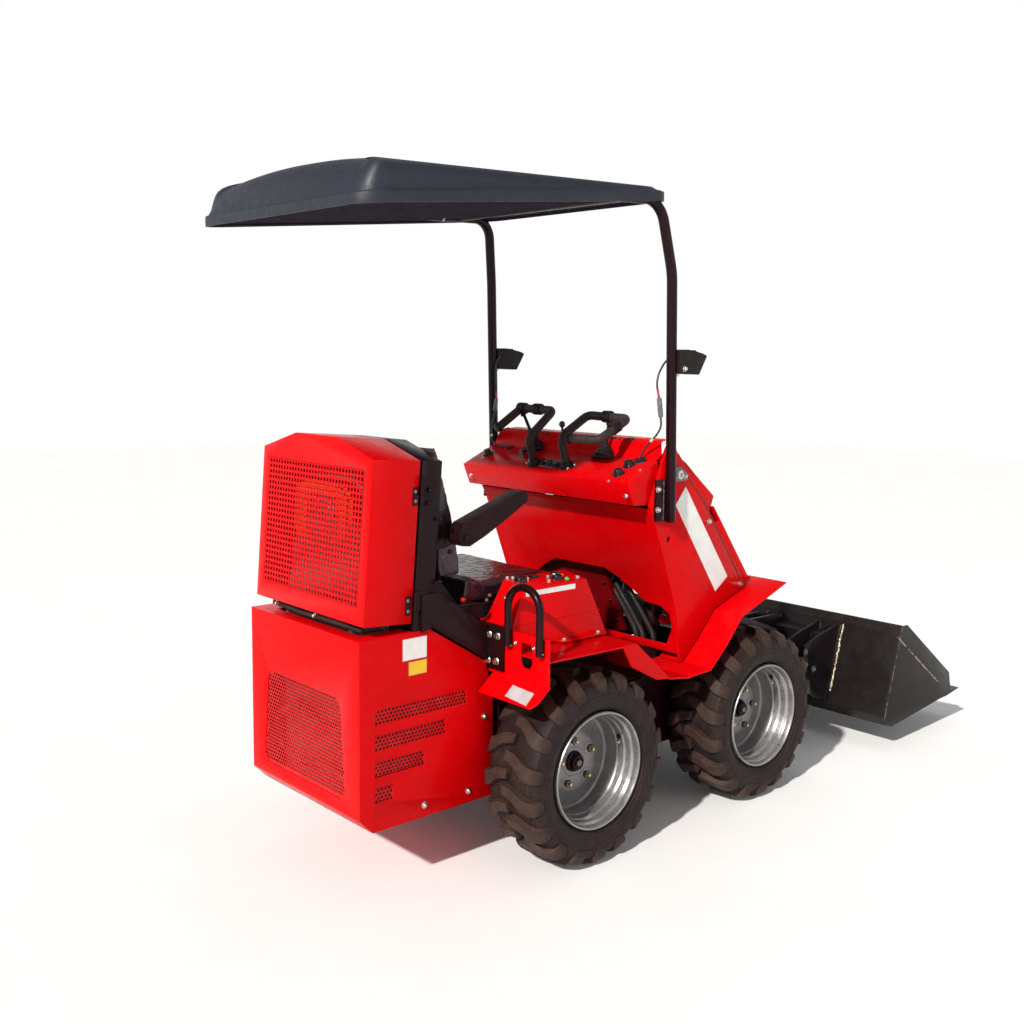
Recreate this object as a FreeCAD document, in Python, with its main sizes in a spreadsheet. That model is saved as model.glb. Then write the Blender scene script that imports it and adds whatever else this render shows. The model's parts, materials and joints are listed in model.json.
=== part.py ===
import FreeCAD, Part
import math
import os
import sys
import Sketcher

# Ride-on wheeled mini skid steer loader.
# Frame: +Z up, bucket end towards -Y, machine's right side towards -X.
# Origin: middle of the bounding box on the ground.  Sizes in millimetres.
# Sub-parts are drawn with y measured from the driver's datum and moved
# together by the cell y_shift, which centres the machine on the origin.

V = FreeCAD.Vector
doc = FreeCAD.newDocument("mini_skid_steer_loader")
sheet = doc.addObject("Spreadsheet::Sheet", "Dims")

CELLS = [
    ("y_shift", 639.0),
    # wheels
    ("wheel_rear_y", 26.0), ("wheel_front_y", -758.0), ("axle_z", 285.0),
    ("tyre_outer_r", 285.0), ("tyre_width", 212.0), ("wheel_mid_x", 421.0),
    ("bead_r", 152.0), ("rim_flange_r", 169.0), ("rim_width", 204.0),
    ("hub_r", 62.0), ("lug_circle_r", 70.0), ("lug_r", 9.0),
    # lower engine housing
    ("box_half", 279.0), ("box_rear_y", 684.0), ("box_top_z", 721.0),
    ("box_bot_z", 196.0), ("box_chamfer_y", 643.0), ("box_chamfer_z", 239.0),
    ("box_flat_y", 454.0), ("box_slope_y", 256.0), ("box_slope_z", 598.0),
    ("box_front_y", 226.0), ("sheet_t", 4.0),
    ("slot_rear_y", 635.0), ("slot_one_y", 324.0), ("slot_two_y", 398.0),
    ("slot_three_y", 472.0), ("slot_four_y", 576.0),
    ("slot_one_z", 488.0), ("slot_two_z", 418.0), ("slot_three_z", 346.0),
    ("slot_four_z", 275.0), ("slot_height", 40.0),
    ("grille_top_half", 174.0), ("grille_bot_half", 208.0),
    ("grille_top_z", 549.0), ("grille_bot_z", 275.0), ("grille_t", 2.0),
    # upper engine door, leaning forward
    ("door_half", 275.0), ("door_lean_deg", 4.1), ("door_bot_z", 756.0),
    ("door_eave_h", 438.0), ("door_roof_h", 486.0), ("door_roof_half", 107.0),
    ("door_depth", 153.0), ("door_base_y", 668.0), ("door_t", 3.0),
    ("door_perf_half", 240.0), ("door_perf_lo", 48.0), ("door_perf_hi", 408.0),
    # seat back frame
    ("sframe_depth", 66.0), ("sframe_t", 5.0),
    ("sarm_x", 285.0), ("sarm_t", 8.0), ("skirt_y", 235.0),
    # seat
    ("seat_half", 235.0), ("seat_front_y", -98.0), ("seat_back_y", 392.0),
    ("rest_pin_y", 352.0), ("rest_pin_z", 966.0), ("seat_top_z", 811.0), ("seat_pan_z", 716.0), ("back_top_z", 1222.0),
    # fenders
    ("fender_in_x", 268.0), ("fender_out_x", 518.0), ("fender_t", 5.0),
    ("rf_top_z", 640.0), ("ff_top_z", 722.0),
    # control boxes
    ("cbox_in_x", 252.0), ("cbox_out_x", 366.0), ("cbox_foot_x", 396.0),
    ("cbox_rear_y", 231.0), ("cbox_front_y", -145.0),
    ("cbox_top_in_z", 826.0), ("cbox_top_out_z", 810.0),
    # tower
    ("tower_half", 400.0), ("tower_t", 8.0),
    ("dash_half", 392.0), ("dash_rear_y", -203.0), ("dash_rear_z", 1085.0),
    ("dash_low_y", -232.0), ("dash_low_z", 1016.0),
    ("dash_front_y", -338.0), ("dash_front_z", 1146.0),
    # boom
    ("boom_pin_y", -430.0), ("boom_pin_z", 1100.0), ("boom_half", 386.0),
    ("boom_t", 8.0), ("arm_in_x", 235.0), ("arm_out_x", 285.0), ("rail_x", 296.0),
    ("tilt_pin_y", -1345.0), ("tilt_pin_z", 295.0), ("pin_r", 16.0),
    ("lift_base_y", -505.0), ("lift_base_z", 345.0),
    ("lift_eye_y", -640.0), ("lift_eye_z", 886.0), ("lift_x", 180.0),
    ("tcyl_base_y", -860.0), ("tcyl_base_z", 700.0),
    ("tcyl_eye_y", -1324.0), ("tcyl_eye_z", 403.0),
    ("lift_barrel_r", 32.0), ("lift_rod_r", 16.0),
    ("tilt_barrel_r", 30.0), ("tilt_rod_r", 15.0),
    # bucket
    ("bucket_half", 550.0), ("bucket_t", 6.0),
    # canopy
    ("can_half", 424.0), ("can_rear_y", 765.0), ("can_front_y", -345.0),
    ("can_lip_rear_z", 1815.0), ("can_lip_front_z", 1928.0),
    ("can_top_rear_z", 1958.0), ("can_top_front_z", 1984.0),
    ("can_wall", 6.0),
    ("post_x", 418.0), ("post_r", 16.0),
    ("lamp_z", 1445.0),
]


class Q:
    """A length with its value and its spreadsheet expression."""

    def __init__(self, value, text):
        self.value = float(value)
        self.text = text

    def _other(self, o):
        if isinstance(o, Q):
            return o.value, o.text
        return float(o), repr(float(o))

    def __add__(self, o):
        v, t = self._other(o)
        return Q(self.value + v, "(%s + %s)" % (self.text, t))

    __radd__ = __add__

    def __sub__(self, o):
        v, t = self._other(o)
        return Q(self.value - v, "(%s - %s)" % (self.text, t))

    def __rsub__(self, o):
        v, t = self._other(o)
        return Q(v - self.value, "(%s - %s)" % (t, self.text))

    def __mul__(self, o):
        v, t = self._other(o)
        return Q(self.value * v, "(%s * %s)" % (self.text, t))

    __rmul__ = __mul__

    def __neg__(self):
        return Q(-self.value, "(0 - %s)" % self.text)

    def __float__(self):
        return self.value


D = {}
for i, (alias, value) in enumerate(CELLS):
    cell = "B%d" % (i + 1)
    sheet.set("A%d" % (i + 1), alias)
    sheet.set(cell, repr(value))
    sheet.setAlias(cell, alias)
    D[alias] = Q(value, "Dims." + alias)
doc.recompute()


def bind(obj, prop, q):
    if isinstance(q, Q):
        obj.setExpression(prop, q.text)


def plane_of(body, role):
    for f in body.Origin.OriginFeatures:
        if f.Role == role:
            return f
    raise RuntimeError(role)


ROLE = {"X": "YZ_Plane", "Y": "XZ_Plane", "Z": "XY_Plane"}
COUNT = [0]


def fresh(stem):
    COUNT[0] += 1
    return "%s_%d" % (stem, COUNT[0])


def outline(sk, pts):
    """Closed polygon in a sketch, each corner held by two driven lengths."""
    base = sk.GeometryCount
    n = len(pts)
    for i in range(n):
        a, b = pts[i], pts[(i + 1) % n]
        sk.addGeometry(Part.LineSegment(V(float(a[0]), float(a[1]), 0),
                                        V(float(b[0]), float(b[1]), 0)))
    for i in range(n):
        sk.addConstraint(Sketcher.Constraint(
            "Coincident", base + i, 2, base + (i + 1) % n, 1))
    for i in range(n):
        for kind, q in (("DistanceX", pts[i][0]), ("DistanceY", pts[i][1])):
            k = sk.addConstraint(Sketcher.Constraint(
                kind, -1, 1, base + i, 1, float(q)))
            if isinstance(q, Q):
                sk.setExpression("Constraints[%d]" % k, q.text)


def ring(sk, u, v, r):
    g = sk.addGeometry(Part.Circle(V(float(u), float(v), 0), V(0, 0, 1), float(r)))
    for kind, q in (("DistanceX", u), ("DistanceY", v)):
        k = sk.addConstraint(Sketcher.Constraint(kind, -1, 1, g, 3, float(q)))
        if isinstance(q, Q):
            sk.setExpression("Constraints[%d]" % k, q.text)
    k = sk.addConstraint(Sketcher.Constraint("Radius", g, float(r)))
    if isinstance(r, Q):
        sk.setExpression("Constraints[%d]" % k, r.text)


def sketch_on(body, axis, level):
    sk = body.newObject("Sketcher::SketchObject", fresh("Sketch"))
    sk.AttachmentSupport = [(plane_of(body, ROLE[axis]), "")]
    sk.MapMode = "FlatFace"
    lv = -level if axis == "Y" else level
    sk.AttachmentOffset = FreeCAD.Placement(V(0, 0, float(lv)), FreeCAD.Rotation())
    bind(sk, "AttachmentOffset.Base.z", lv)
    return sk


def draw(sk, wires):
    for w in wires:
        if isinstance(w, tuple):
            ring(sk, *w)
        else:
            outline(sk, w)


def new_body(name):
    return doc.addObject("PartDesign::Body", name)


def pad(body, axis, wires, lo, hi):
    """Adds material between lo and hi along the axis."""
    sk = sketch_on(body, axis, hi if axis == "Y" else lo)
    draw(sk, wires)
    f = body.newObject("PartDesign::Pad", fresh("Pad"))
    f.Profile = sk
    f.Length = float(hi) - float(lo)
    q = hi - lo
    bind(f, "Length", q)
    return f


def cut(body, axis, wires, lo, hi):
    """Removes material between lo and hi along the axis."""
    doc.recompute()
    before = body.Shape.Volume
    sk = sketch_on(body, axis, lo if axis == "Y" else hi)
    draw(sk, wires)
    f = body.newObject("PartDesign::Pocket", fresh("Pocket"))
    f.Profile = sk
    f.Length = float(hi) - float(lo)
    q = hi - lo
    bind(f, "Length", q)
    doc.recompute()
    if body.Shape.Volume > before - 1e-3:
        raise RuntimeError("pocket cut nothing in " + body.Name)
    return f


def prism(name, axis, pts, lo, hi):
    b = new_body(name)
    pad(b, axis, [pts], lo, hi)
    return b


def turned(name, pts, centre):
    """Body of revolution about an X axis through centre; pts are (x, r)."""
    b = new_body(name)
    sk = b.newObject("Sketcher::SketchObject", fresh("Sketch"))
    sk.AttachmentSupport = [(plane_of(b, "XZ_Plane"), "")]
    sk.MapMode = "FlatFace"
    for p in pts:
        outline(sk, p)
    f = b.newObject("PartDesign::Revolution", fresh("Revolution"))
    f.Profile = sk
    f.ReferenceAxis = (sk, ["H_Axis"])
    f.Angle = 360
    b.Placement = FreeCAD.Placement(V(*[float(c) for c in centre]), FreeCAD.Rotation())
    for k, c in zip("xyz", centre):
        bind(b, "Placement.Base." + k, c)
    return b


def rod(name, a, b, r, r_in=None):
    """Straight round bar or tube between two points in one Y-Z plane or along X."""
    a = tuple(a)
    b = tuple(b)
    va = V(*[float(c) for c in a])
    vb = V(*[float(c) for c in b])
    d = vb - va

    def one(rad, tag):
        c = doc.addObject("Part::Cylinder", fresh(name + tag))
        c.Radius = float(rad)
        bind(c, "Radius", rad)
        c.Height = d.Length
        c.Placement = FreeCAD.Placement(va, FreeCAD.Rotation(V(0, 0, 1), d))
        for k, q in zip("xyz", a):
            bind(c, "Placement.Base." + k, q)
        if abs(d.y) < 1e-9 and abs(d.z) < 1e-9 and isinstance(b[0] - a[0], Q):
            if d.x > 0:
                c.setExpression("Height", (b[0] - a[0]).text)
        return c

    outer = one(r, "_bar")
    if r_in is None:
        return outer
    inner = one(r_in, "_bore")
    k = doc.addObject("Part::Cut", fresh(name + "_tube"))
    k.Base = outer
    k.Tool = inner
    return k


def block(name, x0, x1, y0, y1, z0, z1):
    b = doc.addObject("Part::Box", fresh(name))
    for prop, lo, hi in (("Length", x0, x1), ("Width", y0, y1), ("Height", z0, z1)):
        setattr(b, prop, float(hi) - float(lo))
        bind(b, prop, hi - lo)
    b.Placement = FreeCAD.Placement(V(float(x0), float(y0), float(z0)), FreeCAD.Rotation())
    for k, q in zip("xyz", (x0, y0, z0)):
        bind(b, "Placement.Base." + k, q)
    return b


def fuse(name, objs):
    f = doc.addObject("Part::MultiFuse", fresh(name))
    f.Shapes = objs
    f.Refine = True
    return f


def minus(name, base, tools):
    tool = tools[0] if len(tools) == 1 else fuse(name + "_tool", tools)
    f = doc.addObject("Part::Cut", fresh(name))
    f.Base = base
    f.Tool = tool
    return f


def group(name, objs):
    f = doc.addObject("Part::Compound", fresh(name))
    f.Links = objs
    return f


def mirrored(name, obj):
    m = doc.addObject("Part::Mirroring", fresh(name))
    m.Source = obj
    m.Base = V(0, 0, 0)
    m.Normal = V(1, 0, 0)
    return m


def free_shape(name, shape):
    f = doc.addObject("Part::Feature", fresh(name))
    f.Shape = shape
    return f


def bent_tube(points, r, bends):
    """Round tube along straight runs joined by tangent arcs."""
    pts = [V(*[float(c) for c in p]) for p in points]
    edges = []
    start = pts[0]
    for i in range(1, len(pts) - 1):
        a = (pts[i - 1] - pts[i]).normalize()
        b = (pts[i + 1] - pts[i]).normalize()
        turn = math.pi - math.acos(max(-1, min(1, a.dot(b))))
        cutback = bends[i - 1] * math.tan(turn / 2)
        p = pts[i] + a * cutback
        q = pts[i] + b * cutback
        mid_dir = (a + b).normalize()
        h = bends[i - 1] / math.cos(turn / 2) - bends[i - 1]
        m = pts[i] + mid_dir * h
        edges.append(Part.LineSegment(start, p).toShape())
        edges.append(Part.Arc(p, m, q).toShape())
        start = q
    edges.append(Part.LineSegment(start, pts[-1]).toShape())
    wire = Part.Wire(edges)
    t = (pts[1] - pts[0]).normalize()
    prof = Part.Wire([Part.makeCircle(float(r), pts[0], t)])
    sh = wire.makePipeShell([prof], True, True)
    if not sh.isValid() or sh.Volume < 0:
        sh.fix(1e-4, 1e-4, 1e-3)
    return sh, wire.Length


NODES = []


def node(label, obj):
    """Names a finished sub-part and binds its place to the centring shift."""
    obj.Label = label
    p = obj.Placement
    obj.Placement = FreeCAD.Placement(
        V(p.Base.x, p.Base.y + D["y_shift"].value, p.Base.z), p.Rotation)
    base_y = None
    for path, text in obj.ExpressionEngine:
        if path.lstrip(".") == "Placement.Base.y":
            base_y = text
    if base_y:
        obj.setExpression("Placement.Base.y", "(%s) + Dims.y_shift" % base_y)
    else:
        obj.setExpression("Placement.Base.y", "Dims.y_shift + %r" % p.Base.y)
    NODES.append(obj)
    return obj


# ------------------------------------------------------------------ wheels
tw = D["tyre_width"]
ro = D["tyre_outer_r"]
rb = D["bead_r"]


def tyre_profile():
    h = tw * 0.5
    outer = [(-h + 17, rb + 4), (-h + 5, rb + 20), (-h, rb + 55), (-h + 2, ro - 42),
             (-h + 9, ro - 20), (-h + 24, ro - 7), (-h + 52, ro - 1), (-30, ro),
             (30, ro), (h - 52, ro - 1), (h - 24, ro - 7), (h - 9, ro - 20),
             (h - 2, ro - 42), (h, rb + 55), (h - 5, rb + 20), (h - 17, rb + 4)]
    inner = [(h - 27, rb + 4), (h - 20, rb + 24), (h - 14, rb + 55),
             (h - 18, ro - 48), (h - 32, ro - 30), (0, ro - 26),
             (-h + 32, ro - 30), (-h + 18, ro - 48), (-h + 14, rb + 55),
             (-h + 20, rb + 24), (-h + 27, rb + 4)]
    return outer + inner


def rim_profile(side):
    """Drop centre rim with dished disc; side +1 puts the disc face towards +X."""
    w = D["rim_width"] * 0.5
    rf = D["rim_flange_r"]
    s = side
    barrel = [(-s * w, rf), (-s * (w - 5), rf), (-s * (w - 8), rb + 2.6), (-s * 62, rb - 1.4),
              (-s * 50, rb - 14), (s * 18, rb - 14), (s * 34, rb - 10), (s * 52, rb - 1.4),
              (s * (w - 8), rb + 2.6), (s * (w - 5), rf), (s * w, rf),
              (s * w, rf - 5), (s * (w - 4), rb - 4), (s * 56, rb - 8), (s * 36, rb - 17),
              (s * 10, rb - 19), (s * 6, rb - 21), (s * -2, 118), (s * 12, 96), (s * 6, 84),
              (s * 6, 20), (s * -2, 20), (s * -2, 86), (s * 3, 95),
              (s * -10, 119), (s * -4, rb - 19),
              (-s * 48, rb - 19), (-s * 60, rb - 8), (-s * (w - 4), rb - 4), (-s * w, rf - 5)]
    return barrel


WHEELS = [("rear_right", -1, "wheel_rear_y"), ("rear_left", 1, "wheel_rear_y"),
          ("front_right", -1, "wheel_front_y"), ("front_left", 1, "wheel_front_y")]
for tag, s, yk in WHEELS:
    centre = (D["wheel_mid_x"] * s, D[yk], D["axle_z"])
    node("tyre_" + tag, turned("Tyre_" + tag, [tyre_profile()], centre))
    disc = turned("Disc_" + tag, [rim_profile(s)], centre)
    cx, cy, cz = centre
    hub = rod("Hub_" + tag, (cx - s * 60, cy, cz), (cx + s * 4, cy, cz), D["hub_r"])
    cap = rod("Cap_" + tag, (cx - s * 2, cy, cz), (cx + s * 40, cy, cz), 31.0)
    nuts = []
    for k in range(5):
        a = math.radians(18 + 72 * k)
        ny = cy + D["lug_circle_r"] * math.cos(a)
        nz = cz + D["lug_circle_r"] * math.sin(a)
        nuts.append(rod("Nut_" + tag, (cx - s * 1, ny, nz), (cx + s * 22, ny, nz), D["lug_r"]))
    node("rim_" + tag, fuse("Rim_" + tag, [disc, hub, cap] + nuts))

# hub motor housings between chassis rails and wheel hubs
motors = []
for tag, s, yk in WHEELS:
    y = D[yk]
    z = D["axle_z"]
    motors.append(rod("Motor_" + tag, (s * 300, y, z), (s * (D["wheel_mid_x"] - 66.0), y, z), 55.0))
    motors.append(block("Flange_" + tag, -308 if s < 0 else 300, -300 if s < 0 else 308,
                        y - 80, y + 80, z - 80, z + 80))
pairs = [fuse("Motor", motors[2 * i:2 * i + 2]) for i in range(4)]
node("wheel_motors", group("WheelMotors", pairs))

# ----------------------------------------------------------- lower chassis
yr, zt, zb = D["box_rear_y"], D["box_top_z"], D["box_bot_z"]
rail = [(D["box_front_y"] - 4, zb), (D["box_front_y"] - 4, D["rf_top_z"] - 30),
        (-104, D["rf_top_z"] - 30), (-150, 430), (-380, 430), (-470, 486), (-640, 636),
        (-770, 676), (-800, 640), (-900, 450), (-960, 380), (-960, 230), (-925, zb)]
rx_ = D["rail_x"]
rails = [prism("RailRight", "X", rail, -rx_ - 4, -rx_ + 4), prism("RailLeft", "X", rail, rx_ - 4, rx_ + 4)]
belly = prism("Belly", "X", [(D["box_front_y"] - 4, zb), (D["box_front_y"] - 4, zb + 6),
                            (-925, zb + 6), (-925, zb)], -rx_, rx_)
nose = prism("Nose", "X", [(-925, zb), (-960, 230), (-960, 350), (-954, 350), (-954, 232),
                          (-921, zb + 4)], -rx_, rx_)
cross1 = block("Cross", -rx_, rx_, 150, 156, 200, 608)
cross2 = block("Cross", -rx_, rx_, -460, -454, 200, 516)
cross3 = block("Cross", -rx_, rx_, -880, -874, 200, 370)
lift_lugs = []
for s in (-1, 1):
    for o in (-1, 1):
        xc = s * 180 + o * 39
        lift_lugs.append(prism("LiftLug", "X", [(-457, 290), (-457, 410), (-500, 400), (-545, 360),
                                                 (-545, 320), (-520, 300)], xc - 5, xc + 5))
node("chassis_frame", fuse("Chassis", rails + [belly, nose, cross1, cross2, cross3] + lift_lugs))
floor = prism("FloorPlate", "X", [(-112, 540), (-106, 540), (-146, 431), (-378, 431), (-452, 478),
                                 (-452, 485), (-380, 437), (-150, 437)], -rx_ + 5, rx_ - 5)
node("floor_plate", floor)
lift_pin = [rod("LiftPin", (s * 180 - 48, D["lift_base_y"], D["lift_base_z"]),
                (s * 180 + 48, D["lift_base_y"], D["lift_base_z"]), 14.0) for s in (-1, 1)]

# ------------------------------------------------- lower engine housing
t = D["sheet_t"]
bh = D["box_half"]
shell = new_body("EngineBox")
side = [(yr, D["box_chamfer_z"]), (yr, zt), (D["box_flat_y"], zt), (D["box_slope_y"], D["box_slope_z"]),
        (D["box_front_y"], D["box_slope_z"] - 100), (D["box_front_y"], zb), (D["box_chamfer_y"], zb)]
pad(shell, "X", [side], -bh, bh)
inner = [(yr - t, D["box_chamfer_z"] + 2), (yr - t, zt - t), (D["box_flat_y"] + 1, zt - t),
         (D["box_slope_y"] + 3, D["box_slope_z"] - t), (D["box_front_y"] + t, D["box_slope_z"] - 101),
         (D["box_front_y"] + t, zb + t), (D["box_chamfer_y"] - 2, zb + t)]
cut(shell, "X", [inner], -(bh - t), bh - t)
cut(shell, "Y", [[(-190, 250), (190, 250), (190, 440), (-190, 440)]],
    D["box_front_y"] - 1, D["box_front_y"] + t + 1)
cut(shell, "Z", [[(-205, 330), (205, 330), (205, 640), (-205, 640)]], zt - t - 60, zt + 1)
gt, gb = D["grille_top_half"], D["grille_bot_half"]
window = [(-gt, D["grille_top_z"]), (gt, D["grille_top_z"]),
          (gt + 14, D["grille_top_z"] - 24), (gb, D["grille_bot_z"] + 26),
          (gb - 20, D["grille_bot_z"]), (-gb + 20, D["grille_bot_z"]),
          (-gb, D["grille_bot_z"] + 26), (-gt - 14, D["grille_top_z"] - 24)]
cut(shell, "Y", [window], yr - t - 1, yr + 1)
slots = []
for n in ("one", "two", "three", "four"):
    z0 = D["slot_%s_z" % n]
    slots.append([(D["slot_rear_y"], z0), (D["slot_rear_y"], z0 + D["slot_height"]),
                  (D["slot_%s_y" % n], z0 + D["slot_height"]), (D["slot_%s_y" % n], z0)])
cut(shell, "X", slots, -bh - 1, bh + 1)
node("engine_box", shell)
g1 = prism("RearGrille", "Y", window, yr - t, yr - t + D["grille_t"])
parts_g = [g1]
for s, nm in ((-1, "R"), (1, "L")):
    lo, hi = (-bh + 1, -bh + t - 1) if s < 0 else (bh - t + 1, bh - 1)
    for k, w in enumerate(slots):
        parts_g.append(prism("Grille" + nm + str(k), "X", w, lo, hi))
node("engine_box_grilles", group("EngineBoxGrilles", parts_g))

eng = prism("EngineBlock", "X", [(310, 215), (630, 215), (636, 260), (636, 700), (590, 1000),
                                (512, 1000), (512, 708), (436, 690), (310, 560)], -170, 170)
node("engine_block", eng)

# -------------------------------------------------- upper engine door
# The upper door and the seat back frame share one house-shaped outline and
# one forward lean; both are drawn upright on the leaning base line.
lean = D["door_lean_deg"].value
dh = D["door_half"]
eh, rh, rw = D["door_eave_h"], D["door_roof_h"], D["door_roof_half"]
house = [(-dh, 0), (dh, 0), (dh, eh), (rw, rh), (-rw, rh), (-dh, eh)]
dt = D["door_t"]
house_in = [(-dh + dt, dt), (dh - dt, dt), (dh - dt, eh - 1), (rw - 1, rh - dt), (-rw + 1, rh - dt),
            (-dh + dt, eh - 1)]
dd = D["door_depth"]
door = new_body("EngineDoor")
pad(door, "Y", [house], -dd, 0)
cut(door, "Y", [house_in], -dd - 1, -dt)
ph = D["door_perf_half"]
perf = [(-ph, D["door_perf_lo"]), (ph, D["door_perf_lo"]), (ph, D["door_perf_hi"]), (-ph, D["door_perf_hi"])]
cut(door, "Y", [perf], -dt - 1, 1)
cut(door, "Z", [[(-200, -dd - 1), (200, -dd - 1), (200, -22), (-200, -22)]], -1, dt + 1)
dgrille = prism("DoorGrille", "Y", perf, -dt, -dt + D["grille_t"])


def leaned(obj, tag):
    """Sets an upright piece on the leaning base line behind the seat."""
    obj.Placement = FreeCAD.Placement(
        V(0, D["door_base_y"].value, D["door_bot_z"].value),
        FreeCAD.Rotation(V(1, 0, 0), lean))
    obj.setExpression("Placement.Base.y", "Dims.door_base_y")
    obj.setExpression("Placement.Base.z", "Dims.door_bot_z")
    obj.setExpression("Placement.Rotation.Angle", "Dims.door_lean_deg * 1 deg")
    return obj


node("engine_door", leaned(door, "door"))
node("engine_door_grille", leaned(dgrille, "grille"))

# hinge knuckles and fixed leaves at the right edge
hinges = []
for h in (62.0, 372.0):
    leaf = block("Leaf", -dh - 3, -dh, -dd - 40, -dd - 12, h - 26, h + 26)
    arm = block("LeafArm", -dh - 6, -dh - 3, -dd - 40, -dd - 4, h - 26, h + 26)
    kn = rod("Knuckle", (-dh - 7, -dd - 5, h - 26), (-dh - 7, -dd - 5, h + 26), 5.0)
    hinges.append(fuse("Hinge", [leaf, arm, kn]))
node("door_hinges", leaned(group("DoorHinges", hinges), "hinges"))

# -------------------------------------------------------- seat back frame
sd, st = D["sframe_depth"], D["sframe_t"]
frame = new_body("SeatFrameShell")
base_h = -36.0
house_low = [(-dh, base_h), (dh, base_h), (dh, eh), (rw, rh), (-rw, rh), (-dh, eh)]
house_low_in = [(-dh + st, base_h + st), (dh - st, base_h + st), (dh - st, eh - 2), (rw - 2, rh - st),
                (-rw + 2, rh - st), (-dh + st, eh - 2)]
gap = 7.0
pad(frame, "Y", [house_low], -dd - gap - sd, -dd - gap)
cut(frame, "Y", [house_low_in], -dd - gap - sd - 1, -dd - gap - st)
leaned(frame, "frame")
sx = D["sarm_x"]
arms = []
for s in (-1, 1):
    lo, hi = (-sx, -sx + 10) if s < 0 else (sx - 10, sx)
    arms.append(prism("SeatArm", "X", [(486, 716), (486, 820), (430, 820), (262, 706),
                                       (D["skirt_y"] + 12, 706), (D["skirt_y"] + 12, 600),
                                       (262, 606), (452, 727)], lo, hi))
    lo, hi = (-345, -250) if s < 0 else (250, 345)
    arms.append(block("BoltPlate", lo, hi, D["skirt_y"] + 6, D["skirt_y"] + 12, 578, 706))
for s in (-1, 1):
    lo, hi = (-250, -243) if s < 0 else (243, 250)
    arms.append(prism("ArmrestBracket", "X", [(491, 930), (491, 1010), (380, 1000), (334, 978), (334, 950),
                                              (380, 932)], lo, hi))
    lo, hi = (-312, -244) if s < 0 else (244, 312)
    arms.append(rod("ArmrestPin", (float(lo), D["rest_pin_y"], D["rest_pin_z"]),
                    (float(hi), D["rest_pin_y"], D["rest_pin_z"]), 8.0))
node("seat_frame", fuse("SeatFrame", [frame] + arms))

# ------------------------------------------------------------------- seat
sh_ = D["seat_half"]
node("seat_cushion", prism("SeatCushion", "X", [
    (D["seat_front_y"], 756), (D["seat_front_y"] + 4, 798), (-40, D["seat_top_z"]),
    (200, D["seat_top_z"] - 4), (282, D["seat_top_z"] + 26), (300, D["seat_top_z"] + 22),
    (312, 756)], -sh_, sh_))
node("seat_back", prism("SeatBack", "X", [
    (300, 838), (306, 900), (326, 1003), (356, 1106), (376, 1174), (388, D["back_top_z"] - 12),
    (398, D["back_top_z"]), (405, 1212), (405, 1120), (393, 1000), (388, 880), (380, 838)], -sh_, sh_))
node("seat_shell", prism("SeatShell", "X", [
    (D["seat_front_y"] + 14, D["seat_pan_z"]), (D["seat_front_y"] + 4, 752), (316, 752), (384, 834),
    (410, 834), (408, 780), (350, D["seat_pan_z"])], -sh_ - 4, sh_ + 4))
sbase = prism("SeatBase", "X", [(-92, 614), (-92, 708), (150, 708), (150, 614), (144, 614), (144, 702),
                               (-86, 702), (-86, 614)], -240, 240)
node("seat_base", sbase)

# ------------------------------------------------------------- armrests
def armrest(name, s):
    lo, hi = (-306, -256) if s < 0 else (256, 306)
    pts = [(373, 958), (370, 986), (358, 1005), (156, 1078), (136, 1079), (124, 1066), (126, 1050),
           (148, 1036), (222, 995), (286, 962), (338, 940), (364, 943)]
    b = new_body(name)
    pad(b, "X", [pts], lo, hi)
    cut(b, "X", [(D["rest_pin_y"], D["rest_pin_z"], 8.05)], lo - 1, hi + 1)
    return b


node("armrest_right", armrest("ArmrestRight", -1))
node("armrest_left", armrest("ArmrestLeft", 1))

# --------------------------------------------------------- rear fenders
fi, fo, ft = D["fender_in_x"], D["fender_out_x"], D["fender_t"]
rz = D["rf_top_z"]
sk_y = D["skirt_y"]


def rear_fender(s):
    lo, hi = (-fo, -fi) if s < 0 else (fi, fo)
    top = prism("RearFenderTop", "X", [
        (sk_y, rz - ft), (sk_y, rz), (-120, rz - 6), (-268, 504), (-372, 488), (-372, 483),
        (-270, 498), (-118, rz - 12)], lo, hi)
    flo, fhi = (-fo, -fo + ft) if s < 0 else (fo - ft, fo)
    flap_side = prism("RearFenderSide", "X", [(-120, rz - 8), (-266, 502), (-212, 508), (-100, 566),
                                             (-60, rz - 9)], flo, fhi)
    def sx_(v):
        return v * s
    skirt = new_body("RearSkirt")
    pad(skirt, "Y", [[(sx_(345), 572), (sx_(525), 572), (sx_(525), 702), (sx_(374), 702), (sx_(374), 656),
                      (sx_(345), 656)]], sk_y, sk_y + 5)
    cut(skirt, "Y", [[(sx_(410), 620), (sx_(410), 668), (sx_(418), 676), (sx_(450), 676), (sx_(457), 668),
                      (sx_(457), 620), (sx_(446), 606), (sx_(422), 606)]], sk_y - 1, sk_y + 6)
    flap = prism("RearFlap", "X", [(sk_y, 572), (sk_y + 5, 574), (302, 522), (297, 519)],
                 -530 if s < 0 else 300, -300 if s < 0 else 530)
    corner = prism("FlapCorner", "Z", [(sx_(505), 330), (sx_(540), 330), (sx_(540), 250)], 500, 560)
    web = block("SkirtWeb", -350 if s < 0 else 262, -262 if s < 0 else 350, sk_y, sk_y + 5, 566, 640)
    return fuse("RearFender", [top, flap_side, skirt, flap, web])


node("rear_fender_right", rear_fender(-1))
node("rear_fender_left", rear_fender(1))


def grab(s):
    y = sk_y + 17
    sh, _ = bent_tube([(s * 370, y, 660), (s * 370, y, 834), (s * 500, y, 834), (s * 500, y, 655)],
                      11.0, [61.0, 61.0])
    return free_shape("Grab", sh)


node("grab_handles", group("GrabHandles", [grab(-1), grab(1)]))

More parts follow.
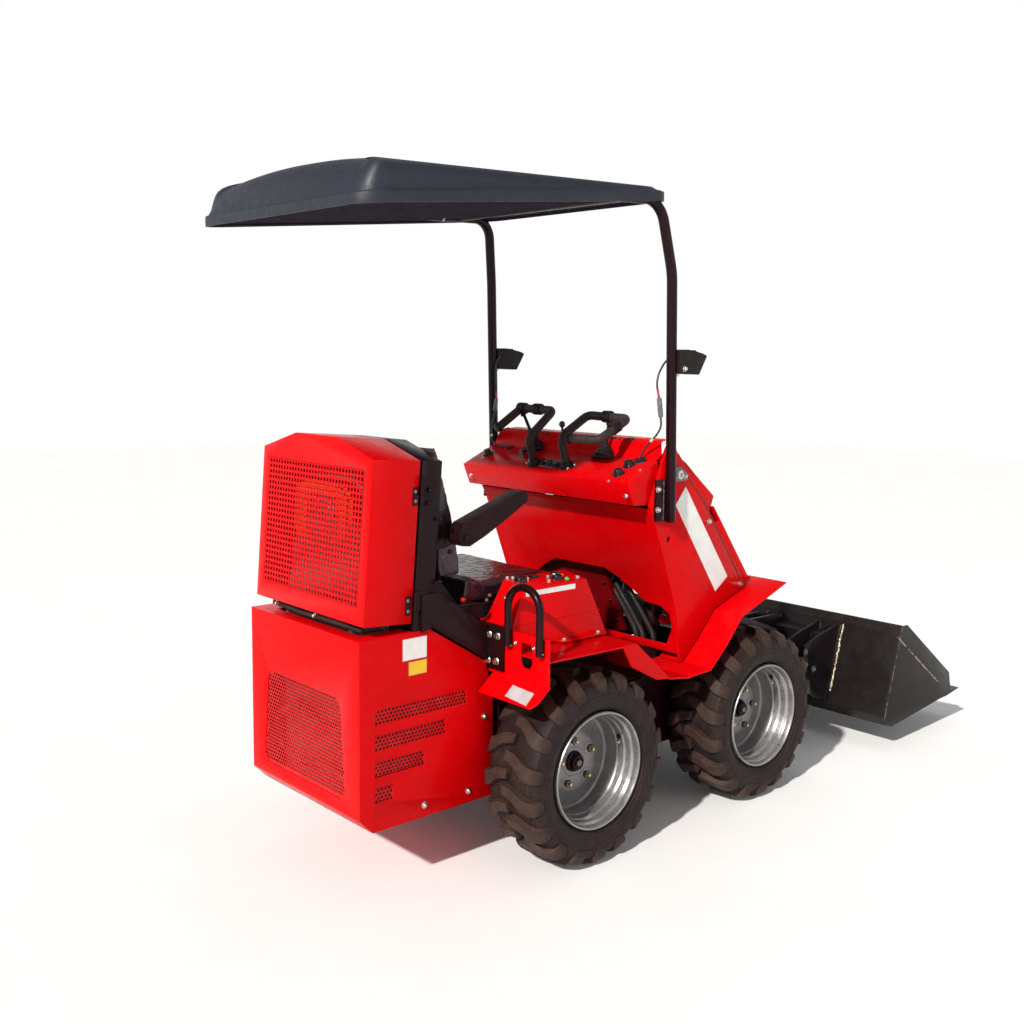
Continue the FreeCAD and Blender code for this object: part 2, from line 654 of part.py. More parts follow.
# -------------------------------------------------------- control boxes
def control_box(s):
    ci, co, cf = D["cbox_in_x"], D["cbox_out_x"], D["cbox_foot_x"]
    ry, fy = D["cbox_rear_y"], D["cbox_front_y"]
    lo, hi = (-co, -ci) if s < 0 else (ci, co)
    b = new_body("ControlBox")
    pad(b, "X", [[(ry, rz + 1), (ry, 712), (186, D["cbox_top_in_z"]), (-50, D["cbox_top_in_z"]), (fy, rz + 1)]],
        lo, hi)

    def m(q):
        return q * s
    cut(b, "Y", [[(m(ci) - 1 * s, 715), (m(ci) + 24 * s, D["cbox_top_in_z"]), (m(ci) + 24 * s, 832), (m(ci) - 1 * s, 832)]],
        -200, 240)
    cut(b, "Y", [[(m(ci) + 24 * s, D["cbox_top_in_z"]), (m(co) + 1 * s, D["cbox_top_out_z"]), (m(co) + 1 * s, 832),
                  (m(ci) + 24 * s, 832)]], -200, 240)
    foot = new_body("ControlFoot")
    pad(foot, "Z", [[(m(co) - 6 * s, -130), (m(cf) - 12 * s, -130), (m(cf), -118), (m(cf), 50), (m(cf) - 12 * s, 62),
                     (m(co) - 6 * s, 62)]], rz + 0.5, rz + 4.5)
    lip = new_body("ControlRearFlange")
    pad(lip, "Z", [[(s * 256, 140), (s * 256, 180), (s * 196, 226), (s * 200, 240), (s * 350, 240), (s * 350, 140)]],
        707.0, 711.0)
    return fuse("ControlBoxFused", [b, foot, lip])


node("control_box_right", control_box(-1))
node("control_box_left", control_box(1))

# ------------------------------------------------------------------ tower
th, tt = D["tower_half"], D["tower_t"]
tower_side = [(-292, 1012), (-316, 967), (-418, 700), (-436, 640), (-454, 496), (-476, 498),
              (-509, 528), (-626, 646), (-782, 698), (-786, 712), (-583, 974), (-492, 1086),
              (-472, 1112), (-426, 1164), (-390, 1190), (-376, 1188), (-345, 1140)]
plates = []
for s in (-1, 1):
    lo, hi = (-th, -th + tt) if s < 0 else (th - tt, th)
    p = new_body("TowerSide")
    pad(p, "X", [tower_side], lo, hi)
    cut(p, "X", [(-386, 899, 9.0)], lo - 1, hi + 1)
    plates.append(p)
panel = prism("TowerPanel", "X", [(-300, 1000), (-306, 1002), (-361, 870), (-424, 704), (-458, 520),
                                 (-453, 520), (-419, 704), (-356, 870)], -(th - tt), th - tt)
hole = prism("TowerPanelHole", "Y", [(-120, 768), (120, 768), (176, 742), (276, 676), (340, 672), (374, 652),
                                    (378, 600), (348, 545), (-348, 545), (-378, 600), (-374, 652),
                                    (-340, 672), (-276, 676), (-176, 742)], -520, -380)
node("tower_frame", fuse("TowerFrame", plates + [minus("TowerRear", panel, [hole])]))

dash = prism("Dash", "X", [(D["dash_rear_y"], D["dash_rear_z"]), (D["dash_low_y"], D["dash_low_z"]),
                          (-288, 1013), (-340, 1060), (D["dash_front_y"], D["dash_front_z"])],
             -D["dash_half"] + 1, D["dash_half"] - 1)
node("console", dash)
cover = prism("TowerTop", "X", [(-340, 1144), (-372, 1196), (-384, 1206), (-416, 1210), (-416, 1206),
                               (-385, 1202), (-370, 1190), (-343, 1140)], -388, 388)
corners = []
for s in (-1, 1):
    corners.append(prism("TowerTopCorner", "Y", [(s * 340, 1214), (s * 364, 1202), (s * 380, 1184), (s * 388, 1166),
                                                 (s * 400, 1166), (s * 400, 1214)], -450, -330))
    corners.append(prism("TowerTopFoot", "Y", [(s * 388, 1166), (s * 384, 1152), (s * 372, 1138), (s * 400, 1138),
                                               (s * 400, 1166)], -450, -330))
cover = minus("TowerTopRounded", cover, corners)
node("tower_top_cover", cover)
pivots = []
for s in (-1, 1):
    a, b = (-th - 4, -(D["boom_half"] - D["boom_t"] - 6)) if s < 0 else (D["boom_half"] - D["boom_t"] - 6, th + 4)
    pin = rod("PivotPin", (a, D["boom_pin_y"], D["boom_pin_z"]), (b, D["boom_pin_y"], D["boom_pin_z"]),
              D["pin_r"])
    lo, hi = (-th - 6, -th) if s < 0 else (th, th + 6)
    keep = prism("PinKeeper", "X", [(-405, 1126), (-434, 1124), (-466, 1098), (-463, 1084), (-452, 1080),
                                    (-405, 1080)], lo, hi)
    pivots.append(fuse("PivotPinKept", [pin, keep]))
node("boom_pivot_pins", group("PivotPins", pivots))


def front_fender(s):
    lo, hi = (-512, -300) if s < 0 else (300, 512)
    return prism("FrontFender", "X", [
        (-864, 722), (-770, 690), (-628, 641), (-552, 560), (-475, 492), (-376, 488), (-376, 483),
        (-477, 487), (-556, 556), (-631, 636), (-772, 685), (-865, 717)], lo, hi)


ffr = front_fender(-1)
ffl = front_fender(1)
node("front_fender_right", ffr)
node("front_fender_left", ffl)

# ------------------------------------------- joysticks and loop handles
def joystick(x0, tip):
    y0, z0 = -334, 1142
    boot = doc.addObject("Part::Cone", fresh("Boot"))
    boot.Radius1 = 34
    boot.Radius2 = 13
    boot.Height = 46
    boot.Placement = FreeCAD.Placement(V(x0, y0, z0 - 6), FreeCAD.Rotation(V(1, 0, 0), 20))
    a = V(x0, y0 - 8, z0 + 20)
    b = V(*tip)
    stem = doc.addObject("Part::Cylinder", fresh("Stem"))
    stem.Radius = 5
    stem.Height = (b - a).Length
    stem.Placement = FreeCAD.Placement(a, FreeCAD.Rotation(V(0, 0, 1), b - a))
    return fuse("Joystick", [boot, stem])


# each stem reaches up to the clamp on its loop
node("joysticks", group("Joysticks", [joystick(165.0, (228.0, -324.0, 1258.0)),
                                      joystick(-165.0, (-88.0, -339.0, 1254.0))]))
left_loop, _ = bent_tube([(73, -253, 1098), (73, -219, 1192), (73, -332, 1282), (236, -334, 1283),
                          (236, -232, 1221)], 15.0, [34.0, 26.0, 26.0])
right_loop, _ = bent_tube([(-75, -258, 1098), (-75, -226, 1206), (-75, -347, 1273), (-253, -347, 1270),
                           (-253, -215, 1206), (-132, -215, 1206)], 15.0, [34.0, 26.0, 26.0, 26.0])
node("control_handles", group("ControlHandles", [free_shape("LeftLoop", left_loop),
                                                 free_shape("RightLoop", right_loop)]))

# ------------------------------------------------------------------- boom
by, bz = D["boom_pin_y"], D["boom_pin_z"]
bhw, bt = D["boom_half"], D["boom_t"]
cheek = [(-388, 1096), (-394, 1132), (-412, 1154), (-430, 1160), (-478, 1133), (-527, 1092),
         (-608, 1028), (-621, 1017), (-603, 971), (-560, 962), (-500, 1000), (-440, 1050), (-406, 1066)]
cheeks = []
for s in (-1, 1):
    lo, hi = (-bhw, -bhw + bt) if s < 0 else (bhw - bt, bhw)
    c = new_body("YokeCheek")
    pad(c, "X", [cheek], lo, hi)
    cut(c, "X", [(by, bz, D["pin_r"] + 0.05)], lo - 1, hi + 1)
    cheeks.append(c)
skin = prism("YokeSkin", "X", [(-414, 1156), (-430, 1160), (-478, 1133), (-527, 1092), (-608, 1028),
                              (-621, 1017), (-603, 971), (-598, 972), (-614.5, 1015), (-605, 1023),
                              (-524, 1087), (-475, 1128), (-430, 1154)], -bhw, bhw)
node("boom_yoke", fuse("BoomYoke", cheeks + [skin]))
arm = [(-470, 1118), (-598, 1014), (-640, 984), (-840, 690), (-935, 554), (-1140, 478), (-1290, 352),
       (-1345, 340), (-1378, 326), (-1390, 295), (-1378, 263), (-1345, 250), (-1300, 256), (-1215, 308),
       (-1100, 384), (-912, 458), (-850, 530), (-740, 700), (-566, 940), (-450, 1040)]
lower = []
for s in (-1, 1):
    lo, hi = (-D["arm_out_x"], -D["arm_in_x"]) if s < 0 else (D["arm_in_x"], D["arm_out_x"])
    a = new_body("BoomArm")
    pad(a, "X", [arm], lo, hi)
    cut(a, "X", [(D["tilt_pin_y"], D["tilt_pin_z"], D["pin_r"] + 0.05)], lo - 1, hi + 1)
    lower.append(a)
ai, ao = D["arm_in_x"], D["arm_out_x"]
tie1 = rod("TieTube", (-ai - 2, -1090, 440), (ai + 2, -1090, 440), 30.0)
tie2 = prism("FrontPlate", "X", [(-636, 976), (-830, 691), (-862, 644), (-855, 640), (-823, 686),
                                (-629, 971)], -ai - 2, ai + 2)
tie2 = minus("FrontPlateNotched", tie2, [block("BarrelNotch", -38, 38, -880, -790, 620, 760)])
lugs = []
for s in (-1, 1):
    for o in (-1, 1):
        xc = s * 180 + o * 30
        lugs.append(prism("LiftEyeLug", "X", [(-690, 918), (-640, 922), (-610, 904), (-606, 876),
                                              (-624, 854), (-650, 850), (-742, 856), (-706, 905)], xc - 5, xc + 5))
for o in (-1, 1):
    lugs.append(prism("TiltBaseLug", "X", [(-770, 786), (-826, 748), (-880, 728), (-894, 700), (-882, 672),
                                           (-850, 664), (-828, 680), (-760, 776)], o * 40 - 5, o * 40 + 5))
node("boom_arms", fuse("BoomArms", lower + [tie1, tie2] + lugs))


# guards beside the arms, bolted to the tower's side plates
def front_guard(s):
    lo, hi = (-392, -300) if s < 0 else (300, 392)
    face = prism("GuardFace", "X", [(-617, 985), (-810, 734), (-830, 725), (-828, 720), (-807, 729),
                                   (-613, 981)], lo, hi)
    lo, hi = (-392, -388) if s < 0 else (388, 392)
    flange = prism("GuardFlange", "X", [(-652, 938), (-810, 734), (-830, 725), (-790, 705), (-770, 714),
                                       (-606, 926)], lo, hi)
    return fuse("Guard", [face, flange])


node("front_guards", group("FrontGuards", [front_guard(-1), front_guard(1)]))

# ---------------------------------------------------------- cylinders
def along(p, q, d):
    """Point d millimetres from p towards q in the Y-Z plane."""
    n = math.hypot(q[0] - p[0], q[1] - p[1])
    return (p[0] + (q[0] - p[0]) * d / n, p[1] + (q[1] - p[1]) * d / n)


def barrel(x, base, eye, length, r, eye_w):
    a = along(base, eye, 34)
    b = along(base, eye, length)
    tube = rod("Barrel", (x, a[0], a[1]), (x, b[0], b[1]), r)
    bore = rod("Bore", (x, along(base, eye, 60)[0], along(base, eye, 60)[1]),
               (x, along(base, eye, length + 1)[0], along(base, eye, length + 1)[1]), r - 7)
    eye_b = rod("BarrelEye", (x - eye_w, base[0], base[1]), (x + eye_w, base[0], base[1]), 30.0)
    neck = rod("BarrelNeck", (x, along(base, eye, 18)[0], along(base, eye, 18)[1]), (x, a[0], a[1]), r - 8)
    pin = rod("BarrelPin", (x - eye_w - 1, base[0], base[1]), (x + eye_w + 1, base[0], base[1]), 14.05)
    return minus("BarrelSolid", fuse("BarrelFuse", [minus("BarrelBored", tube, [bore]), eye_b, neck]), [pin])


def piston_rod(x, base, eye, start, r, eye_w, head_t=24.0):
    p0 = along(base, eye, start)
    n = math.hypot(eye[0] - base[0], eye[1] - base[1])
    p1 = along(base, eye, n - 20)
    bar = rod("RodBar", (x, p0[0], p0[1]), (x, p1[0], p1[1]), r)
    head = rod("RodHead", (x, p0[0], p0[1]), (x, along(base, eye, start + head_t)[0],
                                              along(base, eye, start + head_t)[1]), r + 7)
    ring_ = rod("RodEye", (x - eye_w, eye[0], eye[1]), (x + eye_w, eye[0], eye[1]), 27.0)
    hole_ = rod("RodEyeHole", (x - eye_w - 1, eye[0], eye[1]), (x + eye_w + 1, eye[0], eye[1]), 15.0)
    return minus("RodSolid", fuse("RodFuse", [bar, head, ring_]), [hole_])


LB = (D["lift_base_y"].value, D["lift_base_z"].value)
LE = (D["lift_eye_y"].value, D["lift_eye_z"].value)
TB = (D["tcyl_base_y"].value, D["tcyl_base_z"].value)
TE = (D["tcyl_eye_y"].value, D["tcyl_eye_z"].value)
node("lift_cylinder_barrels", group("LiftBarrels", [
    barrel(s * 180.0, LB, LE, 484.0, 32.0, 22.0) for s in (-1, 1)]))
node("lift_cylinder_rods", group("LiftRods", [
    piston_rod(s * 180.0, LB, LE, 81.0, 16.0, 18.0, 16.0) for s in (-1, 1)]))
node("tilt_cylinder_barrel", barrel(0.0, TB, TE, 470.0, 30.0, 24.0))
node("tilt_cylinder_rod", piston_rod(0.0, TB, TE, 100.0, 15.0, 18.0))
node("cylinder_base_pins", group("BasePins", lift_pin))
node("tilt_cylinder_pin", rod("TiltPin", (-46.0, D["tcyl_base_y"], D["tcyl_base_z"]),
                              (46.0, D["tcyl_base_y"], D["tcyl_base_z"]), 14.0))

# ------------------------------------------------ quick attach and bucket
plate = prism("AttachPlate", "X", [(-1449, 150), (-1535, 446), (-1543, 444), (-1457, 148)], -310, 310)
beam = prism("AttachBeam", "X", [(-1462, 352), (-1462, 400), (-1528, 408), (-1516, 352)], -291, 291)
ears = []
for s in (-1, 1):
    for x0 in (212, 297):
        lo, hi = (s * x0 - 6, s * x0 + 6)
        ears.append(prism("AttachEar", "X", [(-1453, 150), (-1390, 168), (-1330, 200), (-1298, 262), (-1290, 330),
                                             (-1304, 384), (-1400, 412), (-1480, 428), (-1539, 444)], lo, hi))
for o in (-1, 1):
    ears.append(prism("TiltEar", "X", [(-1500, 340), (-1400, 352), (-1340, 352), (-1300, 366), (-1284, 396),
                                       (-1292, 428), (-1318, 442), (-1380, 440), (-1532, 438)], o * 34 - 6, o * 34 + 6))
qpins = []
for s in (-1, 1):
    lo, hi = (-311, -204) if s < 0 else (204, 311)
    qpins.append(rod("QuickPin", (float(lo), D["tilt_pin_y"], D["tilt_pin_z"]),
                     (float(hi), D["tilt_pin_y"], D["tilt_pin_z"]), D["pin_r"]))
node("quick_attach", fuse("QuickAttach", [plate, beam] + ears + qpins))

kt = D["bucket_t"]
kh = D["bucket_half"]
bk_side = [(-1566, 464), (-1611, 467), (-1958, 221), (-1978, 140), (-1948, 130), (-1534, 88), (-1492, 98),
           (-1460, 140), (-1548, 446)]
bk_in = [(-1570, 458), (-1611, 474), (-1990, 240), (-2000, 128), (-1948, 137), (-1535, 95), (-1496, 104),
         (-1468, 142), (-1555, 447)]
bucket = new_body("BucketShell")
pad(bucket, "X", [bk_side], -kh, kh)
cut(bucket, "X", [bk_in], -kh + kt, kh - kt)
edge = prism("CuttingEdge", "X", [(-2043, 140), (-2040, 144), (-1930, 140), (-1900, 137), (-1900, 125),
                                 (-1946, 126)], -kh, kh)
lip = rod("TopLip", (-kh, -1576.0, 458.0), (kh, -1576.0, 458.0), 12.0)
node("bucket", fuse("Bucket", [bucket, edge, lip]))


# ----------------------------------------------------------------- canopy
cw, cry, cfy = D["can_half"], D["can_rear_y"], D["can_front_y"]


def lip_z(y):
    """Height of the lip's lower edge at y."""
    f = (float(cry) - y) / (float(cry) - float(cfy))
    return float(D["can_lip_rear_z"]) * (1 - f) + float(D["can_lip_front_z"]) * f


def plan(inset, rear_r, front_r):
    """Rounded rectangle seen from above."""
    w, ry, fy = float(cw) - inset, float(cry) - inset, float(cfy) + inset
    pts = []
    for cx, cy, r, a0 in ((w - front_r, fy + front_r, front_r, -90), (w - rear_r, ry - rear_r, rear_r, 0),
                          (-w + rear_r, ry - rear_r, rear_r, 90), (-w + front_r, fy + front_r, front_r, 180)):
        for k in range(5):
            t = math.radians(a0 + 22.5 * k)
            pts.append((cx + r * math.cos(t), cy + r * math.sin(t)))
    return pts


def arch(y, z_edge, z_mid, inset, floor):
    """Roof section at y: rounded shoulders and a shallow crown."""
    w = float(cw) - inset
    half = [(w, floor), (w, z_edge - 34), (w - 5, z_edge - 16), (w - 17, z_edge - 4), (w - 36, z_edge + 2)]
    for k in (0.75, 0.5, 0.25):
        half.append(((w - 36) * k, z_edge + 2 + (z_mid - z_edge - 2) * (1 - k * k)))
    pts = half + [(0, z_mid)] + [(-x, z) for x, z in reversed(half)]
    return [V(x, float(y), float(z)) for x, z in pts]


def faceted(a, b):
    """Solid between two outlines of the same length, with flat triangular facets."""
    faces = [Part.Face(Part.makePolygon(a + [a[0]])), Part.Face(Part.makePolygon(b + [b[0]]))]
    for i in range(len(a)):
        j = (i + 1) % len(a)
        faces.append(Part.Face(Part.makePolygon([a[i], a[j], b[j], a[i]])))
        faces.append(Part.Face(Part.makePolygon([a[i], b[j], b[i], a[i]])))
    return Part.makeSolid(Part.makeShell(faces))


def common(name, objs):
    out = objs[0]
    for o in objs[1:]:
        f = doc.addObject("Part::Common", fresh(name))
        f.Base = out
        f.Tool = o
        out = f
    return out


def canopy_body(inset, drop):
    y0, y1 = 800.0, -380.0
    e0, e1 = float(D["can_top_rear_z"]) - 32, float(D["can_top_front_z"]) - 14
    m0, m1 = float(D["can_top_rear_z"]) - 3, float(D["can_top_front_z"]) + 3
    lf = free_shape("CanopyArch", faceted(arch(y0, e0 - drop, m0 - drop, inset, 1790),
                                          arch(y1, e1 - drop, m1 - drop, inset, 1790)))
    ring_ = new_body("CanopyPlan")
    pad(ring_, "Z", [plan(inset, 80.0 - inset, 76.0 - inset)], 1780.0, 2010.0)
    ry, fy = float(cry) - inset, float(cfy) + inset
    d = drop * 3
    side = prism("CanopySide", "X", [(ry, lip_z(ry) - d), (ry - 18, 1900 - drop), (ry - 32, 1926 - drop),
                                     (ry - 56, 1944 - drop), (ry - 100, 2000), (fy + 70, 2000),
                                     (fy + 50, 1974 - drop), (fy + 26, 1964 - drop), (fy + 6, 1946 - drop),
                                     (fy, lip_z(fy) - d)], -440, 440)
    return common("CanopyCommon", [lf, ring_, side])


def canopy_lip(inset, drop, rise):
    ring_ = new_body("LipPlan")
    pad(ring_, "Z", [plan(inset, 80.0 - inset, 76.0 - inset)], 1780.0, 2010.0)
    ry, fy = float(cry) + 5, float(cfy) - 5
    band = prism("LipBand", "X", [(ry, lip_z(ry) - drop), (ry, lip_z(ry) + rise), (fy, lip_z(fy) + rise),
                                  (fy, lip_z(fy) - drop)], -440, 440)
    return common("LipCommon", [ring_, band])


shell_out = fuse("CanopyOuter", [canopy_body(9, 0), canopy_lip(0, 0, 30)])
shell_in = fuse("CanopyInner", [canopy_body(15, 6), canopy_lip(6, 8, 24)])
node("canopy_roof", minus("Canopy", shell_out, [shell_in]))


def post(s):
    x = s * float(D["post_x"])
    pts = [(x, -372, 958), (x, -349, 1715), (s * 395, -314, 1931), (s * 365, 640, 1896)]
    sh, _ = bent_tube(pts, float(D["post_r"]), [340.0, 74.0])
    return sh


posts = [free_shape("Post", post(s)) for s in (-1, 1)]
bars = [rod("CanopyBar", (-w, y, z), (w, y, z), 12.0) for w, y, z in (
    (388.0, -180.0, 1926.0), (376.0, 200.0, 1912.0), (364.0, 620.0, 1897.0))]
pads = [block("CanopyPad", x - 30, x + 30, y - 20, y + 20, z, z + 60) for x, y, z in (
    (-300, -180, 1926.0), (300, -180, 1926.0), (-300, 200, 1912.0), (300, 200, 1912.0),
    (-300, 620, 1897.0), (300, 620, 1897.0))]
stays = minus("CanopyStays", fuse("CanopyPads", pads), [minus("AboveRoof", block("Above", -440, 440, -380, 800, 1880, 2060),
                                                             [canopy_body(11, 2)])])
brackets = [block("PostBracket", -410 if s < 0 else 400, -400 if s < 0 else 410, -372, -314, 962, 1090) for s in (-1, 1)]
node("canopy_frame", fuse("CanopyFrame", posts + bars + brackets + [stays]))


def lamp(s):
    x = s * 422.0
    b = prism("LampHead", "X", [(-362, 1487), (-400, 1489), (-450, 1482), (-492, 1471), (-488, 1462), (-455, 1412),
                                (-364, 1414)], x - 28, x + 28)
    return b


node("work_lights", group("WorkLights", [lamp(-1), lamp(1)]))

# ------------------------------------------------------------ lamp leads
def lead(points, r):
    """Lead held at both ends: straight runs joined by large tangent arcs."""
    pts = [V(*[float(c) for c in p]) for p in points]
    radii = []
    for i in range(1, len(pts) - 1):
        a, b = pts[i - 1] - pts[i], pts[i + 1] - pts[i]
        turn = math.pi - a.getAngle(b)
        radii.append(0.45 * min(a.Length, b.Length) / math.tan(turn / 2))
    sh, length = bent_tube(points, r, radii)
    print("lead length %.0f mm, arc radii %s" % (length, [round(x) for x in radii]))
    return sh


lead_r = [(-396, -372, 1462), (-396, -350, 1448), (-396, -324, 1415), (-396, -316, 1382),
          (-400, -325, 1340), (-404, -330, 1280), (-405, -332, 1254), (-392, -328, 1228),
          (-366, -329, 1206), (-340, -331, 1182), (-324, -330.5, 1156), (-322, -329, 1134)]
lead_l = [(395, -372, 1462), (393, -353, 1440), (386, -345, 1400), (377, -342, 1350), (373, -339, 1308),
          (379, -337, 1270), (390, -334, 1220), (391, -332, 1180), (377, -330.5, 1153), (346, -330, 1146),
          (312, -330, 1146.5), (288, -330, 1135)]
plug_r = rod("PlugRight", (-399.8, -324.8, 1342), (-404, -330, 1282), 8.0)
plug_l = rod("PlugLeft", (373.6, -339, 1312), (379.4, -336.6, 1268), 7.0)
node("lamp_lead_right", fuse("LeadRight", [free_shape("LeadTubeRight", lead(lead_r, 3.0)), plug_r]))
node("lamp_lead_left", fuse("LeadLeft", [free_shape("LeadTubeLeft", lead(lead_l, 3.0)), plug_l]))

# ----------------------------------------------------------------- output
doc.recompute()
bad = []
for o in doc.Objects:
    if any(s in ("Invalid", "Error") for s in o.State):
        bad.append("%s (%s) of %s: %s" % (o.Name, o.Label, [p.Label for p in o.InList], o.State))
for o in NODES:
    if o.Shape.isNull() or not o.Shape.isValid():
        bad.append("%s: shape null or not valid" % o.Label)
    elif not o.Shape.Solids:
        bad.append("%s: no solid" % o.Label)
if bad:
    for line in bad:
        print("FAILED", line)
    sys.exit(1)
labels = [o.Label for o in NODES]
if len(set(labels)) != len(labels):
    print("FAILED duplicate labels")
    sys.exit(1)
os.makedirs("parts", exist_ok=True)
for name in os.listdir("parts"):
    if name.endswith(".step"):
        os.remove(os.path.join("parts", name))
box = None
for o in NODES:
    o.Shape.exportStep(os.path.join("parts", o.Label + ".step"))
    b = o.Shape.BoundBox
    box = b if box is None else box.united(b) if hasattr(box, "united") else box
    print("%-26s solids %2d  volume %10.0f mm3  x %.0f..%.0f y %.0f..%.0f z %.0f..%.0f" % (
        o.Label, len(o.Shape.Solids), o.Shape.Volume, b.XMin, b.XMax, b.YMin, b.YMax, b.ZMin, b.ZMax))
full = Part.makeCompound([o.Shape for o in NODES]).BoundBox
print("nodes", len(NODES), "bounds", full)
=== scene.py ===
"""Looks of a ride-on mini skid steer loader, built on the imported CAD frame.

All lengths inside the helpers are millimetres in the drawing's own frame
(x to the machine's left, -y towards the bucket, z up); at() turns them into
metres in the row frame.
"""
import json
import math
import random

import bmesh
import bpy
from mathutils import Matrix, Vector

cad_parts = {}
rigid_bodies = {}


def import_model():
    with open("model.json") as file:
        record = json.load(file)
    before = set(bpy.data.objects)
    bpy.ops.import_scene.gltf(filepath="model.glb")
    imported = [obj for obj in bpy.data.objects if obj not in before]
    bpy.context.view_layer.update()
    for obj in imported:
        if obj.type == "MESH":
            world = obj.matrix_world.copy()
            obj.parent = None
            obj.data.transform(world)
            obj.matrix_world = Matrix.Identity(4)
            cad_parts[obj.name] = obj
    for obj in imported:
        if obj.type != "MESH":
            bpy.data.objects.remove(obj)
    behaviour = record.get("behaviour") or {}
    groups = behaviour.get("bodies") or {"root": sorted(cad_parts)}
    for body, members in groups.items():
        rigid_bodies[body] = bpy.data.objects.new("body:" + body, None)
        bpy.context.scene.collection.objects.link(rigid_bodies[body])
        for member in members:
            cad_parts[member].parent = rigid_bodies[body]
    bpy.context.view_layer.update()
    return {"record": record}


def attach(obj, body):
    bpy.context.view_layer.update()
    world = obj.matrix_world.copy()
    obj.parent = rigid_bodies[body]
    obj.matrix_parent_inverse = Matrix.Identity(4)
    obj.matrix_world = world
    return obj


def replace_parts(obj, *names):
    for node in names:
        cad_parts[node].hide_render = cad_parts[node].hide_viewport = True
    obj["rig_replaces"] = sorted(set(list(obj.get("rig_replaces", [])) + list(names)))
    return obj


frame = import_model()
SHIFT = 639.0
TYRES = ("rear_right", "rear_left", "front_right", "front_left")


def at(x, y, z):
    return Vector((x / 1000.0, (y + SHIFT) / 1000.0, z / 1000.0))


